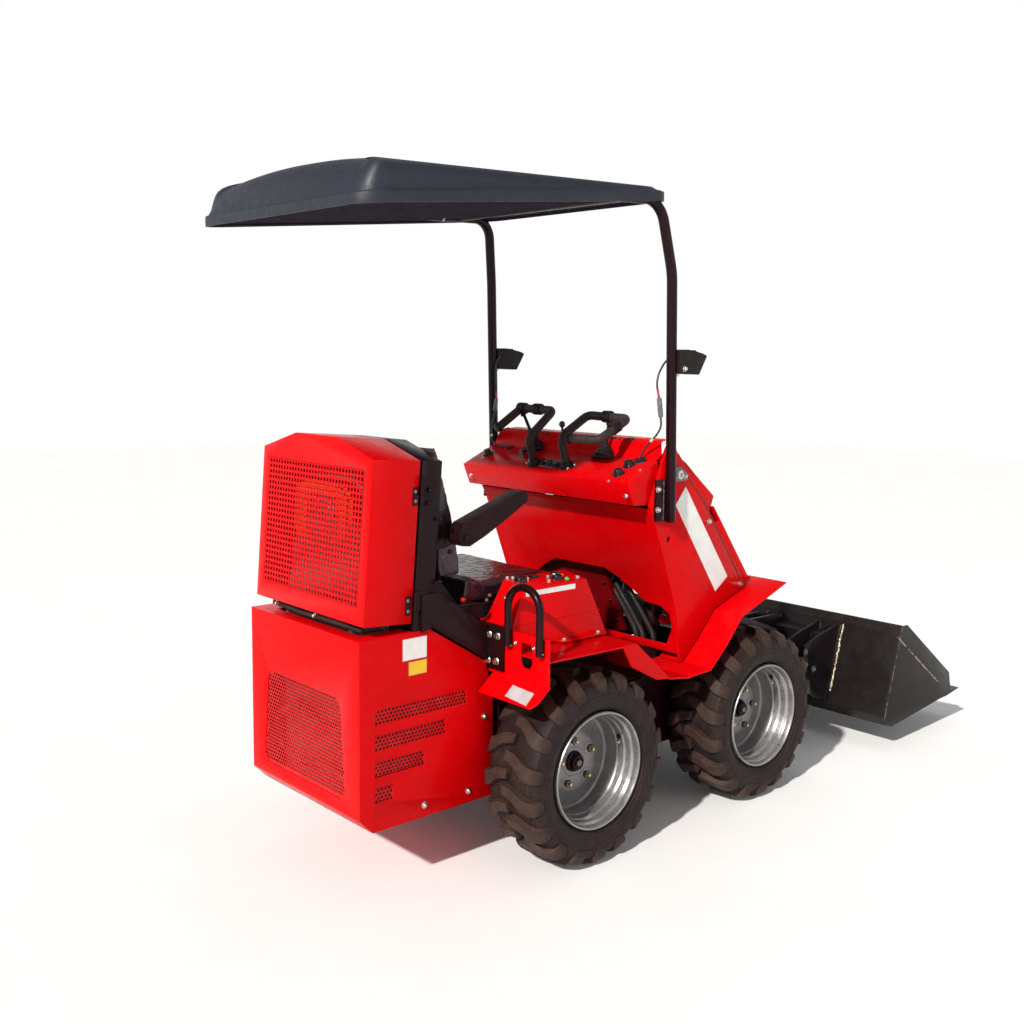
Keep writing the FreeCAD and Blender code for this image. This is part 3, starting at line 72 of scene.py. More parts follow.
# ------------------------------------------------------------------ meshes
class Buf:
    """A growing mesh: points in metres, faces with a material index each."""

    def __init__(self):
        self.v, self.f, self.m = [], [], []
        self.mat = 0

    def face(self, idx):
        self.f.append(tuple(idx))
        self.m.append(self.mat)

    def add(self, pts):
        n = len(self.v)
        self.v.extend([tuple(p) for p in pts])
        return n

    def loop_sides(self, a, b, n, close=True):
        """Quads between two rings of n points that start at a and b."""
        for i in range(n if close else n - 1):
            j = (i + 1) % n
            self.face((a + i, a + j, b + j, b + i))

    def prism(self, axis, pts, lo, hi):
        """Polygon in the plane across an axis, between two levels; mm."""
        def put(u, w, t):
            return at(t, u, w) if axis == "X" else at(u, t, w) if axis == "Y" else at(u, w, t)
        a = self.add([put(u, w, lo) for u, w in pts])
        b = self.add([put(u, w, hi) for u, w in pts])
        n = len(pts)
        area = sum(pts[i][0] * pts[(i + 1) % n][1] - pts[(i + 1) % n][0] * pts[i][1] for i in range(n))
        flip = (area > 0) != (axis == "Y")
        if flip:
            self.face([a + i for i in reversed(range(n))])
            self.face([b + i for i in range(n)])
            for i in range(n):
                j = (i + 1) % n
                self.face((a + i, a + j, b + j, b + i))
        else:
            self.face([a + i for i in range(n)])
            self.face([b + i for i in reversed(range(n))])
            for i in range(n):
                j = (i + 1) % n
                self.face((a + j, a + i, b + i, b + j))

    def block(self, x0, x1, y0, y1, z0, z1):
        self.prism("Z", [(x0, y0), (x1, y0), (x1, y1), (x0, y1)], z0, z1)

    def lathe(self, centre, axis, profile, seg=32, caps=True):
        """Rings at (distance along the axis, radius), all mm; centre in mm."""
        c = at(*centre)
        w = Vector(axis).normalized()
        u = w.orthogonal().normalized()
        if abs(w.x) > 0.9:
            u = Vector((0, 0, 1))
            u = (u - w * u.dot(w)).normalized()
        t = w.cross(u)
        rings = []
        for h, r in profile:
            base = c + w * (h / 1000.0)
            rings.append(self.add([base + (u * math.cos(2 * math.pi * k / seg) + t * math.sin(2 * math.pi * k / seg)) * (r / 1000.0)
                                   for k in range(seg)]))
        for a, b in zip(rings, rings[1:]):
            self.loop_sides(a, b, seg)
        if caps:
            self.face([rings[0] + k for k in reversed(range(seg))])
            self.face([rings[-1] + k for k in range(seg)])

    def tube(self, pts, r, seg=16, caps=True, radii=None):
        """Round tube through points (mm), frames carried along the path."""
        q = [at(*p) for p in pts]
        n = len(q)
        d = [(q[min(i + 1, n - 1)] - q[max(i - 1, 0)]).normalized() for i in range(n)]
        u = d[0].orthogonal().normalized()
        rings = []
        for i in range(n):
            u = (u - d[i] * u.dot(d[i])).normalized()
            w = d[i].cross(u)
            rr = (radii[i] if radii else r) / 1000.0
            rings.append(self.add([q[i] + (u * math.cos(2 * math.pi * k / seg) + w * math.sin(2 * math.pi * k / seg)) * rr
                                   for k in range(seg)]))
        for a, b in zip(rings, rings[1:]):
            self.loop_sides(a, b, seg)
        if caps:
            self.face([rings[0] + k for k in reversed(range(seg))])
            self.face([rings[-1] + k for k in range(seg)])

    def bolt(self, pos, normal, af=13.0, head=6.0, washer=2.0, turn=0.0, domed=False):
        """Hex head with a chamfered crown on a washer, or a domed cap."""
        c = at(*pos)
        w = Vector(normal).normalized()
        u = w.orthogonal().normalized()
        t = w.cross(u)
        keep = self.mat

        def ringed(profile, seg, phase=0.0):
            rings = []
            for h, r in profile:
                base = c + w * (h / 1000.0)
                rings.append(self.add([base + (u * math.cos(2 * math.pi * k / seg + phase) + t * math.sin(2 * math.pi * k / seg + phase)) * (r / 1000.0)
                                       for k in range(seg)]))
            for a, b in zip(rings, rings[1:]):
                self.loop_sides(a, b, seg)
            self.face([rings[-1] + k for k in range(seg)])
        rad = af / 2 / math.cos(math.pi / 6)
        if washer > 0:
            ringed([(-1.0, rad * 1.28), (washer * 0.75, rad * 1.28), (washer, rad * 1.2), (washer, rad * 0.9)], 20)
        if domed:
            ringed([(washer - 0.5, rad * 0.98), (washer + head * 0.45, rad * 0.9), (washer + head * 0.8, rad * 0.62),
                    (washer + head, rad * 0.3)], 16)
        else:
            ringed([(washer - 0.5, rad), (washer + head * 0.82, rad), (washer + head, rad * 0.86),
                    (washer + head - 0.3, rad * 0.5)], 6, turn)
        self.mat = keep

    def ball(self, pos, r, seg=20, rings=12, squash=(1, 1, 1)):
        c = at(*pos)
        top = self.add([c + Vector((0, 0, r * squash[2] / 1000.0))])
        rows = []
        for i in range(1, rings):
            a = math.pi * i / rings
            rows.append(self.add([c + Vector((math.sin(a) * math.cos(2 * math.pi * k / seg) * r * squash[0],
                                              math.sin(a) * math.sin(2 * math.pi * k / seg) * r * squash[1],
                                              math.cos(a) * r * squash[2])) / 1000.0 for k in range(seg)]))
        bot = self.add([c - Vector((0, 0, r * squash[2] / 1000.0))])
        for k in range(seg):
            j = (k + 1) % seg
            self.face((top, rows[0] + k, rows[0] + j))
            self.face((bot, rows[-1] + j, rows[-1] + k))
        for a, b in zip(rows, rows[1:]):
            for k in range(seg):
                j = (k + 1) % seg
                self.face((a + k, b + k, b + j, a + j))


def shade(me, angle=32.0):
    """Smooth faces, with edges sharper than the angle kept crisp."""
    bm = bmesh.new()
    bm.from_mesh(me)
    lim = math.radians(angle)
    for f in bm.faces:
        f.smooth = True
    for e in bm.edges:
        if len(e.link_faces) == 2:
            e.smooth = e.calc_face_angle(0.0) < lim
        else:
            e.smooth = False
    bm.to_mesh(me)
    bm.free()


def finish_mesh(ob, bevel=0.0, seg=2, angle=32.0, limit=30.0, merge=True, harden=True):
    me = ob.data
    if merge:
        bm = bmesh.new()
        bm.from_mesh(me)
        bmesh.ops.remove_doubles(bm, verts=bm.verts, dist=2e-6)
        bmesh.ops.recalc_face_normals(bm, faces=bm.faces)
        bm.to_mesh(me)
        bm.free()
    if bevel > 0:
        mod = ob.modifiers.new("edge", "BEVEL")
        mod.width = bevel / 1000.0
        mod.segments = seg
        mod.limit_method = "ANGLE"
        mod.angle_limit = math.radians(limit)
        mod.use_clamp_overlap = True
        mod.harden_normals = False
        bake(ob)
    shade(ob.data, angle)


def bake(ob):
    """Applies all modifiers of an object to its mesh."""
    dg = bpy.context.evaluated_depsgraph_get()
    dg.update()
    me = bpy.data.meshes.new_from_object(ob.evaluated_get(dg))
    ob.modifiers.clear()
    old = ob.data
    ob.data = me
    if old.users == 0:
        bpy.data.meshes.remove(old)


def make(name, buf, mats, body="root", bevel=0.0, seg=2, angle=32.0, limit=30.0, merge=True):
    """Object from a buffer; mats is a list of materials by face index."""
    me = bpy.data.meshes.new(name)
    me.from_pydata(buf.v, [], buf.f)
    ob = bpy.data.objects.new(name, me)
    bpy.context.scene.collection.objects.link(ob)
    for m in mats:
        me.materials.append(m)
    for p, k in zip(me.polygons, buf.m):
        p.material_index = k
    me.validate()
    finish_mesh(ob, bevel, seg, angle, limit, merge)
    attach(ob, body)
    return ob


def body_of_node(node):
    for b, nodes in frame["record"]["behaviour"]["bodies"].items():
        if node in nodes:
            return b
    return "root"


def refine(node, mats, bevel=1.0, seg=2, angle=32.0, limit=28.0, name=None, tweak=None):
    """Copy of a CAD node with its flat faces joined and its edges rounded."""
    src = bpy.data.objects[node]
    me = src.data.copy()
    name = name or node + "_fine"
    ob = bpy.data.objects.new(name, me)
    bpy.context.scene.collection.objects.link(ob)
    ob.matrix_world = src.matrix_world.copy()
    me.materials.clear()
    for m in (mats if isinstance(mats, (list, tuple)) else [mats]):
        me.materials.append(m)
    for p in me.polygons:
        p.material_index = 0
    bm = bmesh.new()
    bm.from_mesh(me)
    bmesh.ops.remove_doubles(bm, verts=bm.verts, dist=5e-6)
    bmesh.ops.dissolve_degenerate(bm, dist=1e-6, edges=bm.edges)
    bmesh.ops.dissolve_limit(bm, angle_limit=math.radians(0.6), use_dissolve_boundaries=False,
                             verts=bm.verts, edges=bm.edges)
    bmesh.ops.recalc_face_normals(bm, faces=bm.faces)
    if tweak:
        tweak(bm)
    bm.to_mesh(me)
    bm.free()
    if me.attributes.get("custom_normal"):
        me.attributes.remove(me.attributes["custom_normal"])
    finish_mesh(ob, bevel, seg, angle, limit, merge=False)
    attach(ob, body_of_node(node))
    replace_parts(ob, node)
    return ob


def paint_node(node, mat):
    ob = bpy.data.objects[node]
    ob.data.materials.clear()
    ob.data.materials.append(mat)
    for p in ob.data.polygons:
        p.material_index = 0


# --------------------------------------------------------------- materials
def srgb(r, g, b):
    def lin(c):
        c /= 255.0
        return c / 12.92 if c <= 0.04045 else ((c + 0.055) / 1.055) ** 2.4
    return (lin(r), lin(g), lin(b), 1.0)


class Mat:
    """Small helper round one node tree."""

    def __init__(self, name):
        self.m = bpy.data.materials.new(name)
        self.m.use_nodes = True
        self.t = self.m.node_tree
        self.b = self.t.nodes["Principled BSDF"]
        self.co = self.t.nodes.new("ShaderNodeTexCoord").outputs["Object"]

    def set(self, **kw):
        for k, v in kw.items():
            self.b.inputs[k.replace("_", " ")].default_value = v
        return self

    def link(self, a, b):
        self.t.links.new(a, b)

    def mapped(self, scale=(1, 1, 1), rot=(0, 0, 0)):
        n = self.t.nodes.new("ShaderNodeMapping")
        n.inputs["Scale"].default_value = scale
        n.inputs["Rotation"].default_value = rot
        self.link(self.co, n.inputs["Vector"])
        return n.outputs["Vector"]

    def noise(self, scale, detail=3.0, rough=0.55, vec=None, distort=0.0):
        n = self.t.nodes.new("ShaderNodeTexNoise")
        n.inputs["Scale"].default_value = scale
        n.inputs["Detail"].default_value = detail
        n.inputs["Roughness"].default_value = rough
        n.inputs["Distortion"].default_value = distort
        self.link(vec or self.co, n.inputs["Vector"])
        return n.outputs["Fac"]

    def voronoi(self, scale, feature="F1", vec=None):
        n = self.t.nodes.new("ShaderNodeTexVoronoi")
        n.feature = feature
        n.inputs["Scale"].default_value = scale
        self.link(vec or self.co, n.inputs["Vector"])
        return n.outputs["Distance"]

    def wave(self, scale, distort=0.0, direction="X", vec=None, detail=2.0):
        n = self.t.nodes.new("ShaderNodeTexWave")
        n.bands_direction = direction
        n.inputs["Scale"].default_value = scale
        n.inputs["Distortion"].default_value = distort
        n.inputs["Detail"].default_value = detail
        self.link(vec or self.co, n.inputs["Vector"])
        return n.outputs["Fac"]

    def ramp(self, fac, lo, hi, a=0.0, b=1.0):
        n = self.t.nodes.new("ShaderNodeMapRange")
        n.interpolation_type = "SMOOTHSTEP"
        n.inputs["From Min"].default_value = lo
        n.inputs["From Max"].default_value = hi
        n.inputs["To Min"].default_value = a
        n.inputs["To Max"].default_value = b
        self.link(fac, n.inputs["Value"])
        return n.outputs["Result"]

    def math(self, op, a, b):
        n = self.t.nodes.new("ShaderNodeMath")
        n.operation = op
        for i, x in enumerate((a, b)):
            if isinstance(x, (int, float)):
                n.inputs[i].default_value = x
            else:
                self.link(x, n.inputs[i])
        return n.outputs[0]

    def mix(self, fac, a, b):
        n = self.t.nodes.new("ShaderNodeMix")
        n.data_type = "RGBA"
        for sock, x in ((n.inputs[6], a), (n.inputs[7], b)):
            if isinstance(x, tuple):
                sock.default_value = x
            else:
                self.link(x, sock)
        self.link(fac, n.inputs[0])
        return n.outputs[2]

    def up(self, lo=0.55, hi=0.98):
        """1 on faces that look up, in the piece's own frame."""
        n = self.t.nodes.new("ShaderNodeTexCoord")
        s = self.t.nodes.new("ShaderNodeSeparateXYZ")
        self.link(n.outputs["Normal"], s.inputs[0])
        return self.ramp(s.outputs["Z"], lo, hi)

    def height(self, lo, hi):
        s = self.t.nodes.new("ShaderNodeSeparateXYZ")
        self.link(self.co, s.inputs[0])
        return self.ramp(s.outputs["Z"], lo, hi)

    def color(self, sock):
        self.link(sock, self.b.inputs["Base Color"])
        return self

    def rough(self, sock):
        self.link(sock, self.b.inputs["Roughness"])
        return self

    def bump(self, height, strength=0.3, dist=0.001, normal=None):
        n = self.t.nodes.new("ShaderNodeBump")
        n.inputs["Strength"].default_value = strength
        n.inputs["Distance"].default_value = dist
        self.link(height, n.inputs["Height"])
        if normal is not None:
            self.link(normal, n.inputs["Normal"])
        self.link(n.outputs[0], self.b.inputs["Normal"])
        return n.outputs[0]


def edge_wear(k, lo=0.53, hi=0.6):
    g = k.t.nodes.new("ShaderNodeNewGeometry")
    return k.ramp(g.outputs["Pointiness"], lo, hi)


def paint(name, base, shade_, dust, rough=0.28, coat=0.35, peel=0.06, dusty=0.10, coat_rough=0.08, scuff=None,
          spec=0.25, worn=None):
    k = Mat(name)
    big = k.ramp(k.noise(2.3, 4.0), 0.35, 0.7)
    c = k.mix(big, base, shade_)
    film = k.math("MULTIPLY", k.ramp(k.noise(26.0, 5.0, 0.65), 0.42, 0.8), dusty)
    film = k.math("MULTIPLY", film, k.math("ADD", k.up(0.3, 0.95), 0.35))
    c = k.mix(film, c, dust)
    if scuff:
        marks = k.noise(140.0, 6.0, 0.7, k.mapped((1.0, 0.25, 1.6)))
        fac = k.math("MULTIPLY", k.ramp(marks, 0.66, 0.72), k.ramp(k.noise(9.0, 2.0), 0.5, 0.66))
        c = k.mix(fac, c, scuff)
    if worn:
        c = worn(k, c)
    k.color(c)
    k.rough(k.ramp(k.noise(13.0, 5.0, 0.6), 0.3, 0.75, rough * 0.8, rough * 1.35))
    k.set(Coat_Weight=coat, Coat_Roughness=coat_rough, IOR=1.5, Specular_IOR_Level=spec)
    k.bump(k.noise(520.0, 2.0), peel, 0.0004)
    return k.m


RED = paint("red_gloss_paint", (0.56, 0.0006, 0.0022, 1), (0.50, 0.0005, 0.0018, 1), (0.60, 0.025, 0.025, 1),
            rough=0.28, coat=0.03, dusty=0.05, spec=0.06)
RED_MESH = paint("red_mesh_paint", (0.50, 0.005, 0.006, 1), (0.42, 0.003, 0.005, 1), (0.60, 0.2, 0.17, 1),
                 rough=0.4, coat=0.02, dusty=0.25, spec=0.1)
# red tint in the black base and shade colours: painted reflection of the red panels nearby
BLACK_RED_REFLECT = paint("black_gloss_paint_red_reflection_tint", (0.0125, 0.0025, 0.0036, 1), (0.0080, 0.0016, 0.0024, 1), (0.045, 0.020, 0.020, 1),
              rough=0.30, coat=0.07, dusty=0.07, coat_rough=0.14, spec=0.11)


BOOMBLACK = paint("black_loader_paint", (0.0085, 0.0058, 0.0075, 1), (0.0055, 0.0038, 0.0052, 1), (0.040, 0.028, 0.026, 1),
                  rough=0.30, coat=0.08, dusty=0.10, coat_rough=0.14, spec=0.13)


def bucket_wear(k, c):
    """Bare line across the side plates, a little below their cut edge."""
    s = k.t.nodes.new("ShaderNodeSeparateXYZ")
    k.link(k.co, s.inputs[0])
    dy = k.math("MULTIPLY", k.math("ADD", s.outputs["Y"], 0.941), 0.579)
    dz = k.math("MULTIPLY", k.math("ADD", s.outputs["Z"], -0.404), -0.816)
    wob = k.math("MULTIPLY", k.math("ADD", k.noise(38.0, 3.0), -0.5), 0.006)
    d = k.math("ABSOLUTE", k.math("ADD", k.math("ADD", dy, dz), wob), 0.0)
    band = k.ramp(d, 0.0034, 0.0018)
    side = k.ramp(k.math("ABSOLUTE", s.outputs["X"], 0.0), 0.546, 0.548)
    low = k.ramp(s.outputs["Z"], 0.19, 0.21)
    patch = k.ramp(k.noise(30.0, 4.0), 0.36, 0.52)
    f = k.math("MULTIPLY", k.math("MULTIPLY", band, side), k.math("MULTIPLY", low, patch))
    c = k.mix(f, c, (0.33, 0.22, 0.15, 1))
    ey = k.math("ADD", s.outputs["Y"], 0.925)
    back = k.math("ABSOLUTE", k.math("ADD", k.math("SUBTRACT", ey, k.math("MULTIPLY", k.math("ADD", s.outputs["Z"], -0.436), -0.290)), wob), 0.0)
    g = k.math("MULTIPLY", k.math("MULTIPLY", k.ramp(back, 0.0030, 0.0014), side), k.ramp(k.noise(55.0, 3.0), 0.42, 0.6))
    return k.mix(k.math("MULTIPLY", g, 0.8), c, (0.26, 0.18, 0.12, 1))
BUCKET = paint("bucket_satin_paint", (0.0085, 0.0065, 0.0058, 1), (0.0125, 0.0095, 0.0085, 1), (0.050, 0.037, 0.030, 1),
               rough=0.34, coat=0.10, dusty=0.22, coat_rough=0.16, scuff=(0.14, 0.12, 0.10, 1), spec=0.13, worn=bucket_wear)


def canopy_plastic():
    k = Mat("grained_charcoal_plastic")
    c = k.mix(k.ramp(k.noise(3.0, 4.0), 0.35, 0.7), (0.0150, 0.0180, 0.0285, 1), (0.0105, 0.0122, 0.0215, 1))
    film = k.math("MULTIPLY", k.ramp(k.noise(18.0, 6.0, 0.7), 0.45, 0.8), k.math("ADD", k.up(0.2, 0.9), 0.15))
    c = k.mix(k.math("MULTIPLY", film, 0.12), c, (0.070, 0.072, 0.085, 1))
    k.color(c)
    k.rough(k.ramp(k.noise(40.0, 4.0), 0.3, 0.7, 0.42, 0.58))
    k.set(Coat_Weight=0.05, Coat_Roughness=0.3, Specular_IOR_Level=0.3)
    first = k.bump(k.voronoi(620.0), 0.30, 0.0005)
    k.bump(k.noise(240.0, 4.0), 0.16, 0.0005, first)
    return k.m


CANOPY = canopy_plastic()


def tyre_rubber(name, lo, hi):
    k = Mat(name)
    base = k.mix(k.ramp(k.noise(30.0, 5.0, 0.65), 0.3, 0.75), (0.0095, 0.0052, 0.0055, 1), (0.0170, 0.0092, 0.0088, 1))
    worn = k.mix(k.ramp(k.noise(34.0, 5.0, 0.65), 0.3, 0.75), (0.024, 0.0128, 0.0098, 1), (0.046, 0.0255, 0.0190, 1))
    # distance from the nearer axle: dark walls, dark groove floors between the lugs as painted shade, scuffed tread
    # blocks
    s = k.t.nodes.new("ShaderNodeSeparateXYZ")
    k.link(k.co, s.inputs[0])
    d1 = k.math("ABSOLUTE", k.math("ADD", s.outputs["Y"], -0.665), 0.0)
    d2 = k.math("ABSOLUTE", k.math("ADD", s.outputs["Y"], 0.119), 0.0)
    dy = k.math("MINIMUM", d1, d2)
    dz = k.math("ADD", s.outputs["Z"], -0.285)
    r = k.math("SQRT", k.math("ADD", k.math("MULTIPLY", dy, dy), k.math("MULTIPLY", dz, dz)), 0.0)
    r = k.math("ADD", r, k.math("MULTIPLY", k.math("ADD", k.noise(42.0, 4.0), -0.5), 0.018))
    base = k.mix(k.ramp(r, lo, hi), base, worn)
    dust = k.ramp(k.noise(11.0, 7.0, 0.72), 0.40, 0.78)
    fine = k.ramp(k.noise(160.0, 5.0, 0.7), 0.35, 0.75)
    c = k.mix(k.math("MULTIPLY", k.math("MULTIPLY", dust, fine), 0.6), base, (0.105, 0.058, 0.044, 1))
    k.color(c)
    k.rough(k.ramp(dust, 0.0, 1.0, 0.58, 0.88))
    k.set(Specular_IOR_Level=0.2)
    first = k.bump(k.noise(420.0, 5.0, 0.7), 0.30, 0.0006)
    k.bump(k.noise(60.0, 3.0), 0.12, 0.001, first)
    return k.m


TYRE = tyre_rubber("tyre_rubber_dusty", 0.262, 0.310)
TYRE_LUG = tyre_rubber("tyre_lug_rubber", 0.222, 0.262)


def rim_silver():
    k = Mat("rim_silver_paint")
    c = k.mix(k.ramp(k.noise(14.0, 5.0), 0.3, 0.75), (0.325, 0.318, 0.312, 1), (0.245, 0.238, 0.232, 1))
    dirt = k.ramp(k.noise(46.0, 6.0, 0.72), 0.56, 0.76)
    c = k.mix(k.math("MULTIPLY", dirt, 0.55), c, (0.17, 0.12, 0.09, 1))
    k.color(c)
    k.rough(k.ramp(k.noise(70.0, 4.0), 0.3, 0.75, 0.27, 0.45))
    k.set(Metallic=0.72, Coat_Weight=0.2, Coat_Roughness=0.2)
    k.bump(k.noise(380.0, 3.0), 0.08, 0.0004)
    return k.m


RIM = rim_silver()


def rim_disc():
    k = Mat("rim_disc_paint_shade_darkened")
    # whole disc painted darker grey than the barrel: painted shade inside the rim; the brown mottling is dirt
    c = k.mix(k.ramp(k.noise(14.0, 5.0), 0.3, 0.75), (0.24, 0.23, 0.235, 1), (0.17, 0.16, 0.16, 1))
    dirt = k.ramp(k.noise(46.0, 6.0, 0.72), 0.52, 0.74)
    c = k.mix(k.math("MULTIPLY", dirt, 0.6), c, (0.10, 0.07, 0.055, 1))
    k.color(c)
    k.rough(k.ramp(k.noise(70.0, 4.0), 0.3, 0.75, 0.34, 0.5))
    k.set(Metallic=0.55, Coat_Weight=0.1, Coat_Roughness=0.25)
    k.bump(k.noise(380.0, 3.0), 0.08, 0.0004)
    return k.m


DISC_SHADE_DARKENED = rim_disc()


def metal(name, a, b, rough=(0.22, 0.4), stretch=(1, 1, 1), scale=90.0, metallic=1.0, bump=0.08, rust=0.0):
    k = Mat(name)
    n = k.noise(scale, 4.0, 0.6, k.mapped(stretch))
    c = k.mix(k.ramp(n, 0.3, 0.75), a, b)
    if rust:
        r = k.ramp(k.noise(35.0, 7.0, 0.75), 0.56, 0.7)
        c = k.mix(k.math("MULTIPLY", r, rust), c, (0.17, 0.055, 0.02, 1))
    k.color(c)
    k.rough(k.ramp(n, 0.3, 0.75, rough[0], rough[1]))
    k.set(Metallic=metallic)
    k.bump(n, bump, 0.0004)
    return k.m


ZINC = metal("zinc_plated_steel", (0.62, 0.60, 0.55, 1), (0.45, 0.43, 0.40, 1), (0.22, 0.42), scale=160.0)
GOLD = metal("yellow_zinc_steel", (0.66, 0.50, 0.24, 1), (0.46, 0.36, 0.22, 1), (0.24, 0.42), scale=150.0)
CHROME = metal("polished_rod", (0.78, 0.78, 0.78, 1), (0.68, 0.68, 0.69, 1), (0.06, 0.14), scale=60.0, bump=0.02)
BARE = metal("worn_bare_steel", (0.30, 0.27, 0.24, 1), (0.17, 0.145, 0.12, 1), (0.3, 0.55), (1, 0.15, 1), 110.0, rust=0.5)
WELD = metal("weld_bead", (0.34, 0.32, 0.30, 1), (0.20, 0.18, 0.17, 1), (0.3, 0.5), scale=260.0, rust=0.25)
DARKNUT = metal("dark_nut_steel", (0.21, 0.16, 0.12, 1), (0.12, 0.09, 0.07, 1), (0.32, 0.5), scale=140.0, metallic=0.8)
CAST = metal("cast_engine_metal", (0.20, 0.19, 0.18, 1), (0.11, 0.10, 0.095, 1), (0.4, 0.62), scale=120.0, metallic=0.6, bump=0.2)
GREYPLATE = metal("phosphated_plate", (0.16, 0.16, 0.17, 1), (0.10, 0.10, 0.11, 1), (0.4, 0.55), scale=60.0, metallic=0.3)


def plastic(name, a, b, rough=0.42, scale=300.0, bump=0.12, coat=0.0, spec=0.4):
    k = Mat(name)
    c = k.mix(k.ramp(k.noise(22.0, 5.0), 0.3, 0.75), a, b)
    k.color(c)
    k.rough(k.ramp(k.noise(60.0, 4.0), 0.3, 0.7, rough * 0.85, rough * 1.2))
    k.set(Coat_Weight=coat, Coat_Roughness=0.12, Specular_IOR_Level=spec)
    k.bump(k.noise(scale, 3.0), bump, 0.0004)
    return k.m


PLASTIC = plastic("black_moulded_plastic", (0.010, 0.0065, 0.0075, 1), (0.016, 0.0095, 0.011, 1), spec=0.15)
ARM = plastic("armrest_skin", (0.0115, 0.0030, 0.0042, 1), (0.0170, 0.0050, 0.0065, 1), spec=0.10)
PLASTIC_GLOSS = plastic("black_gloss_plastic", (0.006, 0.004, 0.005, 1), (0.010, 0.007, 0.008, 1), 0.2, coat=0.3, spec=0.25)
RUBBER = plastic("soft_black_rubber", (0.011, 0.0075, 0.0075, 1), (0.019, 0.0125, 0.012, 1), 0.55, 220.0, 0.2, spec=0.25)
WIRE = plastic("lead_sheath", (0.018, 0.016, 0.016, 1), (0.032, 0.028, 0.028, 1), 0.4, 500.0, 0.1)
REDPLASTIC = plastic("red_knob_plastic", (0.55, 0.008, 0.012, 1), (0.42, 0.005, 0.01, 1), 0.3, coat=0.4)
ORANGE_LENS = plastic("orange_lens", (0.85, 0.22, 0.02, 1), (0.7, 0.14, 0.01, 1), 0.15, coat=0.7)
GREEN_LENS = plastic("green_lens", (0.03, 0.42, 0.08, 1), (0.02, 0.30, 0.05, 1), 0.15, coat=0.7)
ENGINE_ORANGE = paint("orange_engine_paint", (0.85, 0.17, 0.02, 1), (0.70, 0.11, 0.012, 1), (0.5, 0.3, 0.16, 1), 0.35, 0.3)
LABEL_WHITE = plastic("blank_white_label", (0.72, 0.71, 0.69, 1), (0.62, 0.60, 0.58, 1), 0.35, 400.0, 0.05, 0.3)
LABEL_YELLOW = plastic("blank_yellow_label", (0.80, 0.50, 0.01, 1), (0.70, 0.42, 0.01, 1), 0.35, 400.0, 0.05, 0.3)
LABEL_RED = plastic("label_border_red", (0.55, 0.02, 0.03, 1), (0.45, 0.015, 0.02, 1), 0.35, 400.0, 0.05, 0.3)
TAPE = plastic("white_tape", (0.66, 0.62, 0.52, 1), (0.52, 0.47, 0.38, 1), 0.4, 300.0, 0.1)
# near-black for gap strips, slot discs and the housing's inner sheets: painted shade
SHADE_DARK = plastic("painted_shade_dark", (0.010, 0.007, 0.007, 1), (0.018, 0.012, 0.012, 1), 0.6)


def grip_foam():
    k = Mat("foam_grip")
    c = k.mix(k.ramp(k.noise(50.0, 5.0), 0.3, 0.75), (0.019, 0.0105, 0.0095, 1), (0.034, 0.0195, 0.0175, 1))
    k.color(c)
    k.rough(k.ramp(k.noise(90.0, 4.0), 0.3, 0.7, 0.5, 0.7))
    k.set(Sheen_Weight=0.05, Sheen_Roughness=0.5, Specular_IOR_Level=0.25)
    first = k.bump(k.voronoi(900.0), 0.35, 0.0005)
    k.bump(k.noise(150.0, 3.0), 0.15, 0.0006, first)
    return k.m


GRIP = grip_foam()


def lens_glass():
    k = Mat("lamp_lens")
    c = k.mix(k.ramp(k.voronoi(260.0), 0.1, 0.6), (0.75, 0.77, 0.78, 1), (0.45, 0.47, 0.48, 1))
    k.color(c)
    k.rough(k.ramp(k.noise(60.0, 3.0), 0.3, 0.7, 0.06, 0.14))
    k.set(Metallic=0.5, Coat_Weight=1.0, Coat_Roughness=0.03)
    k.bump(k.voronoi(260.0), 0.3, 0.0008)
    return k.m


LENS = lens_glass()


def vinyl():
    k = Mat("seat_vinyl_wrapped")
    c = k.mix(k.ramp(k.noise(16.0, 5.0, 0.6), 0.35, 0.7), (0.011, 0.0045, 0.0080, 1), (0.022, 0.0085, 0.0150, 1))
    # purple-white streaks mixed into the base colour: painted highlights of the plastic wrap
    painted_wrap_highlight = k.ramp(k.noise(34.0, 6.0, 0.7, distort=1.6), 0.56, 0.68)
    c = k.mix(k.math("MULTIPLY", painted_wrap_highlight, 0.30), c, (0.17, 0.12, 0.19, 1))
    k.color(c)
    k.rough(k.ramp(k.noise(55.0, 4.0), 0.3, 0.7, 0.30, 0.5))
    k.set(Coat_Weight=0.45, Coat_Roughness=0.16, Specular_IOR_Level=0.35)
    first = k.bump(k.voronoi(430.0), 0.22, 0.0005)
    k.bump(k.noise(20.0, 6.0, 0.62, distort=2.2), 0.38, 0.004, first)
    return k.m


VINYL = vinyl()


# ------------------------------------------------------------- sheet metal
def round_flap(bm):
    """Rounds the outer lower corner of the sloping flap."""
    def outer(v):
        return abs(v.co.x) > 0.5293 and v.co.y > (234.0 + SHIFT) / 1000.0 and v.co.z < 0.5745
    ed = [e for e in bm.edges if outer(e.verts[0]) and outer(e.verts[1]) and abs(e.verts[0].co.y - e.verts[1].co.y) > 0.04]
    bmesh.ops.subdivide_edges(bm, edges=ed, cuts=12)
    for v in bm.verts:
        if outer(v):
            t_ = (v.co.y - (238.0 + SHIFT) / 1000.0) / 0.063
            f = min(1.0, max(0.0, (t_ - 0.45) / 0.55))
            d = 0.034 * (1 - math.sqrt(max(0.0, 1 - f * f)))
            v.co.x -= math.copysign(d, v.co.x)


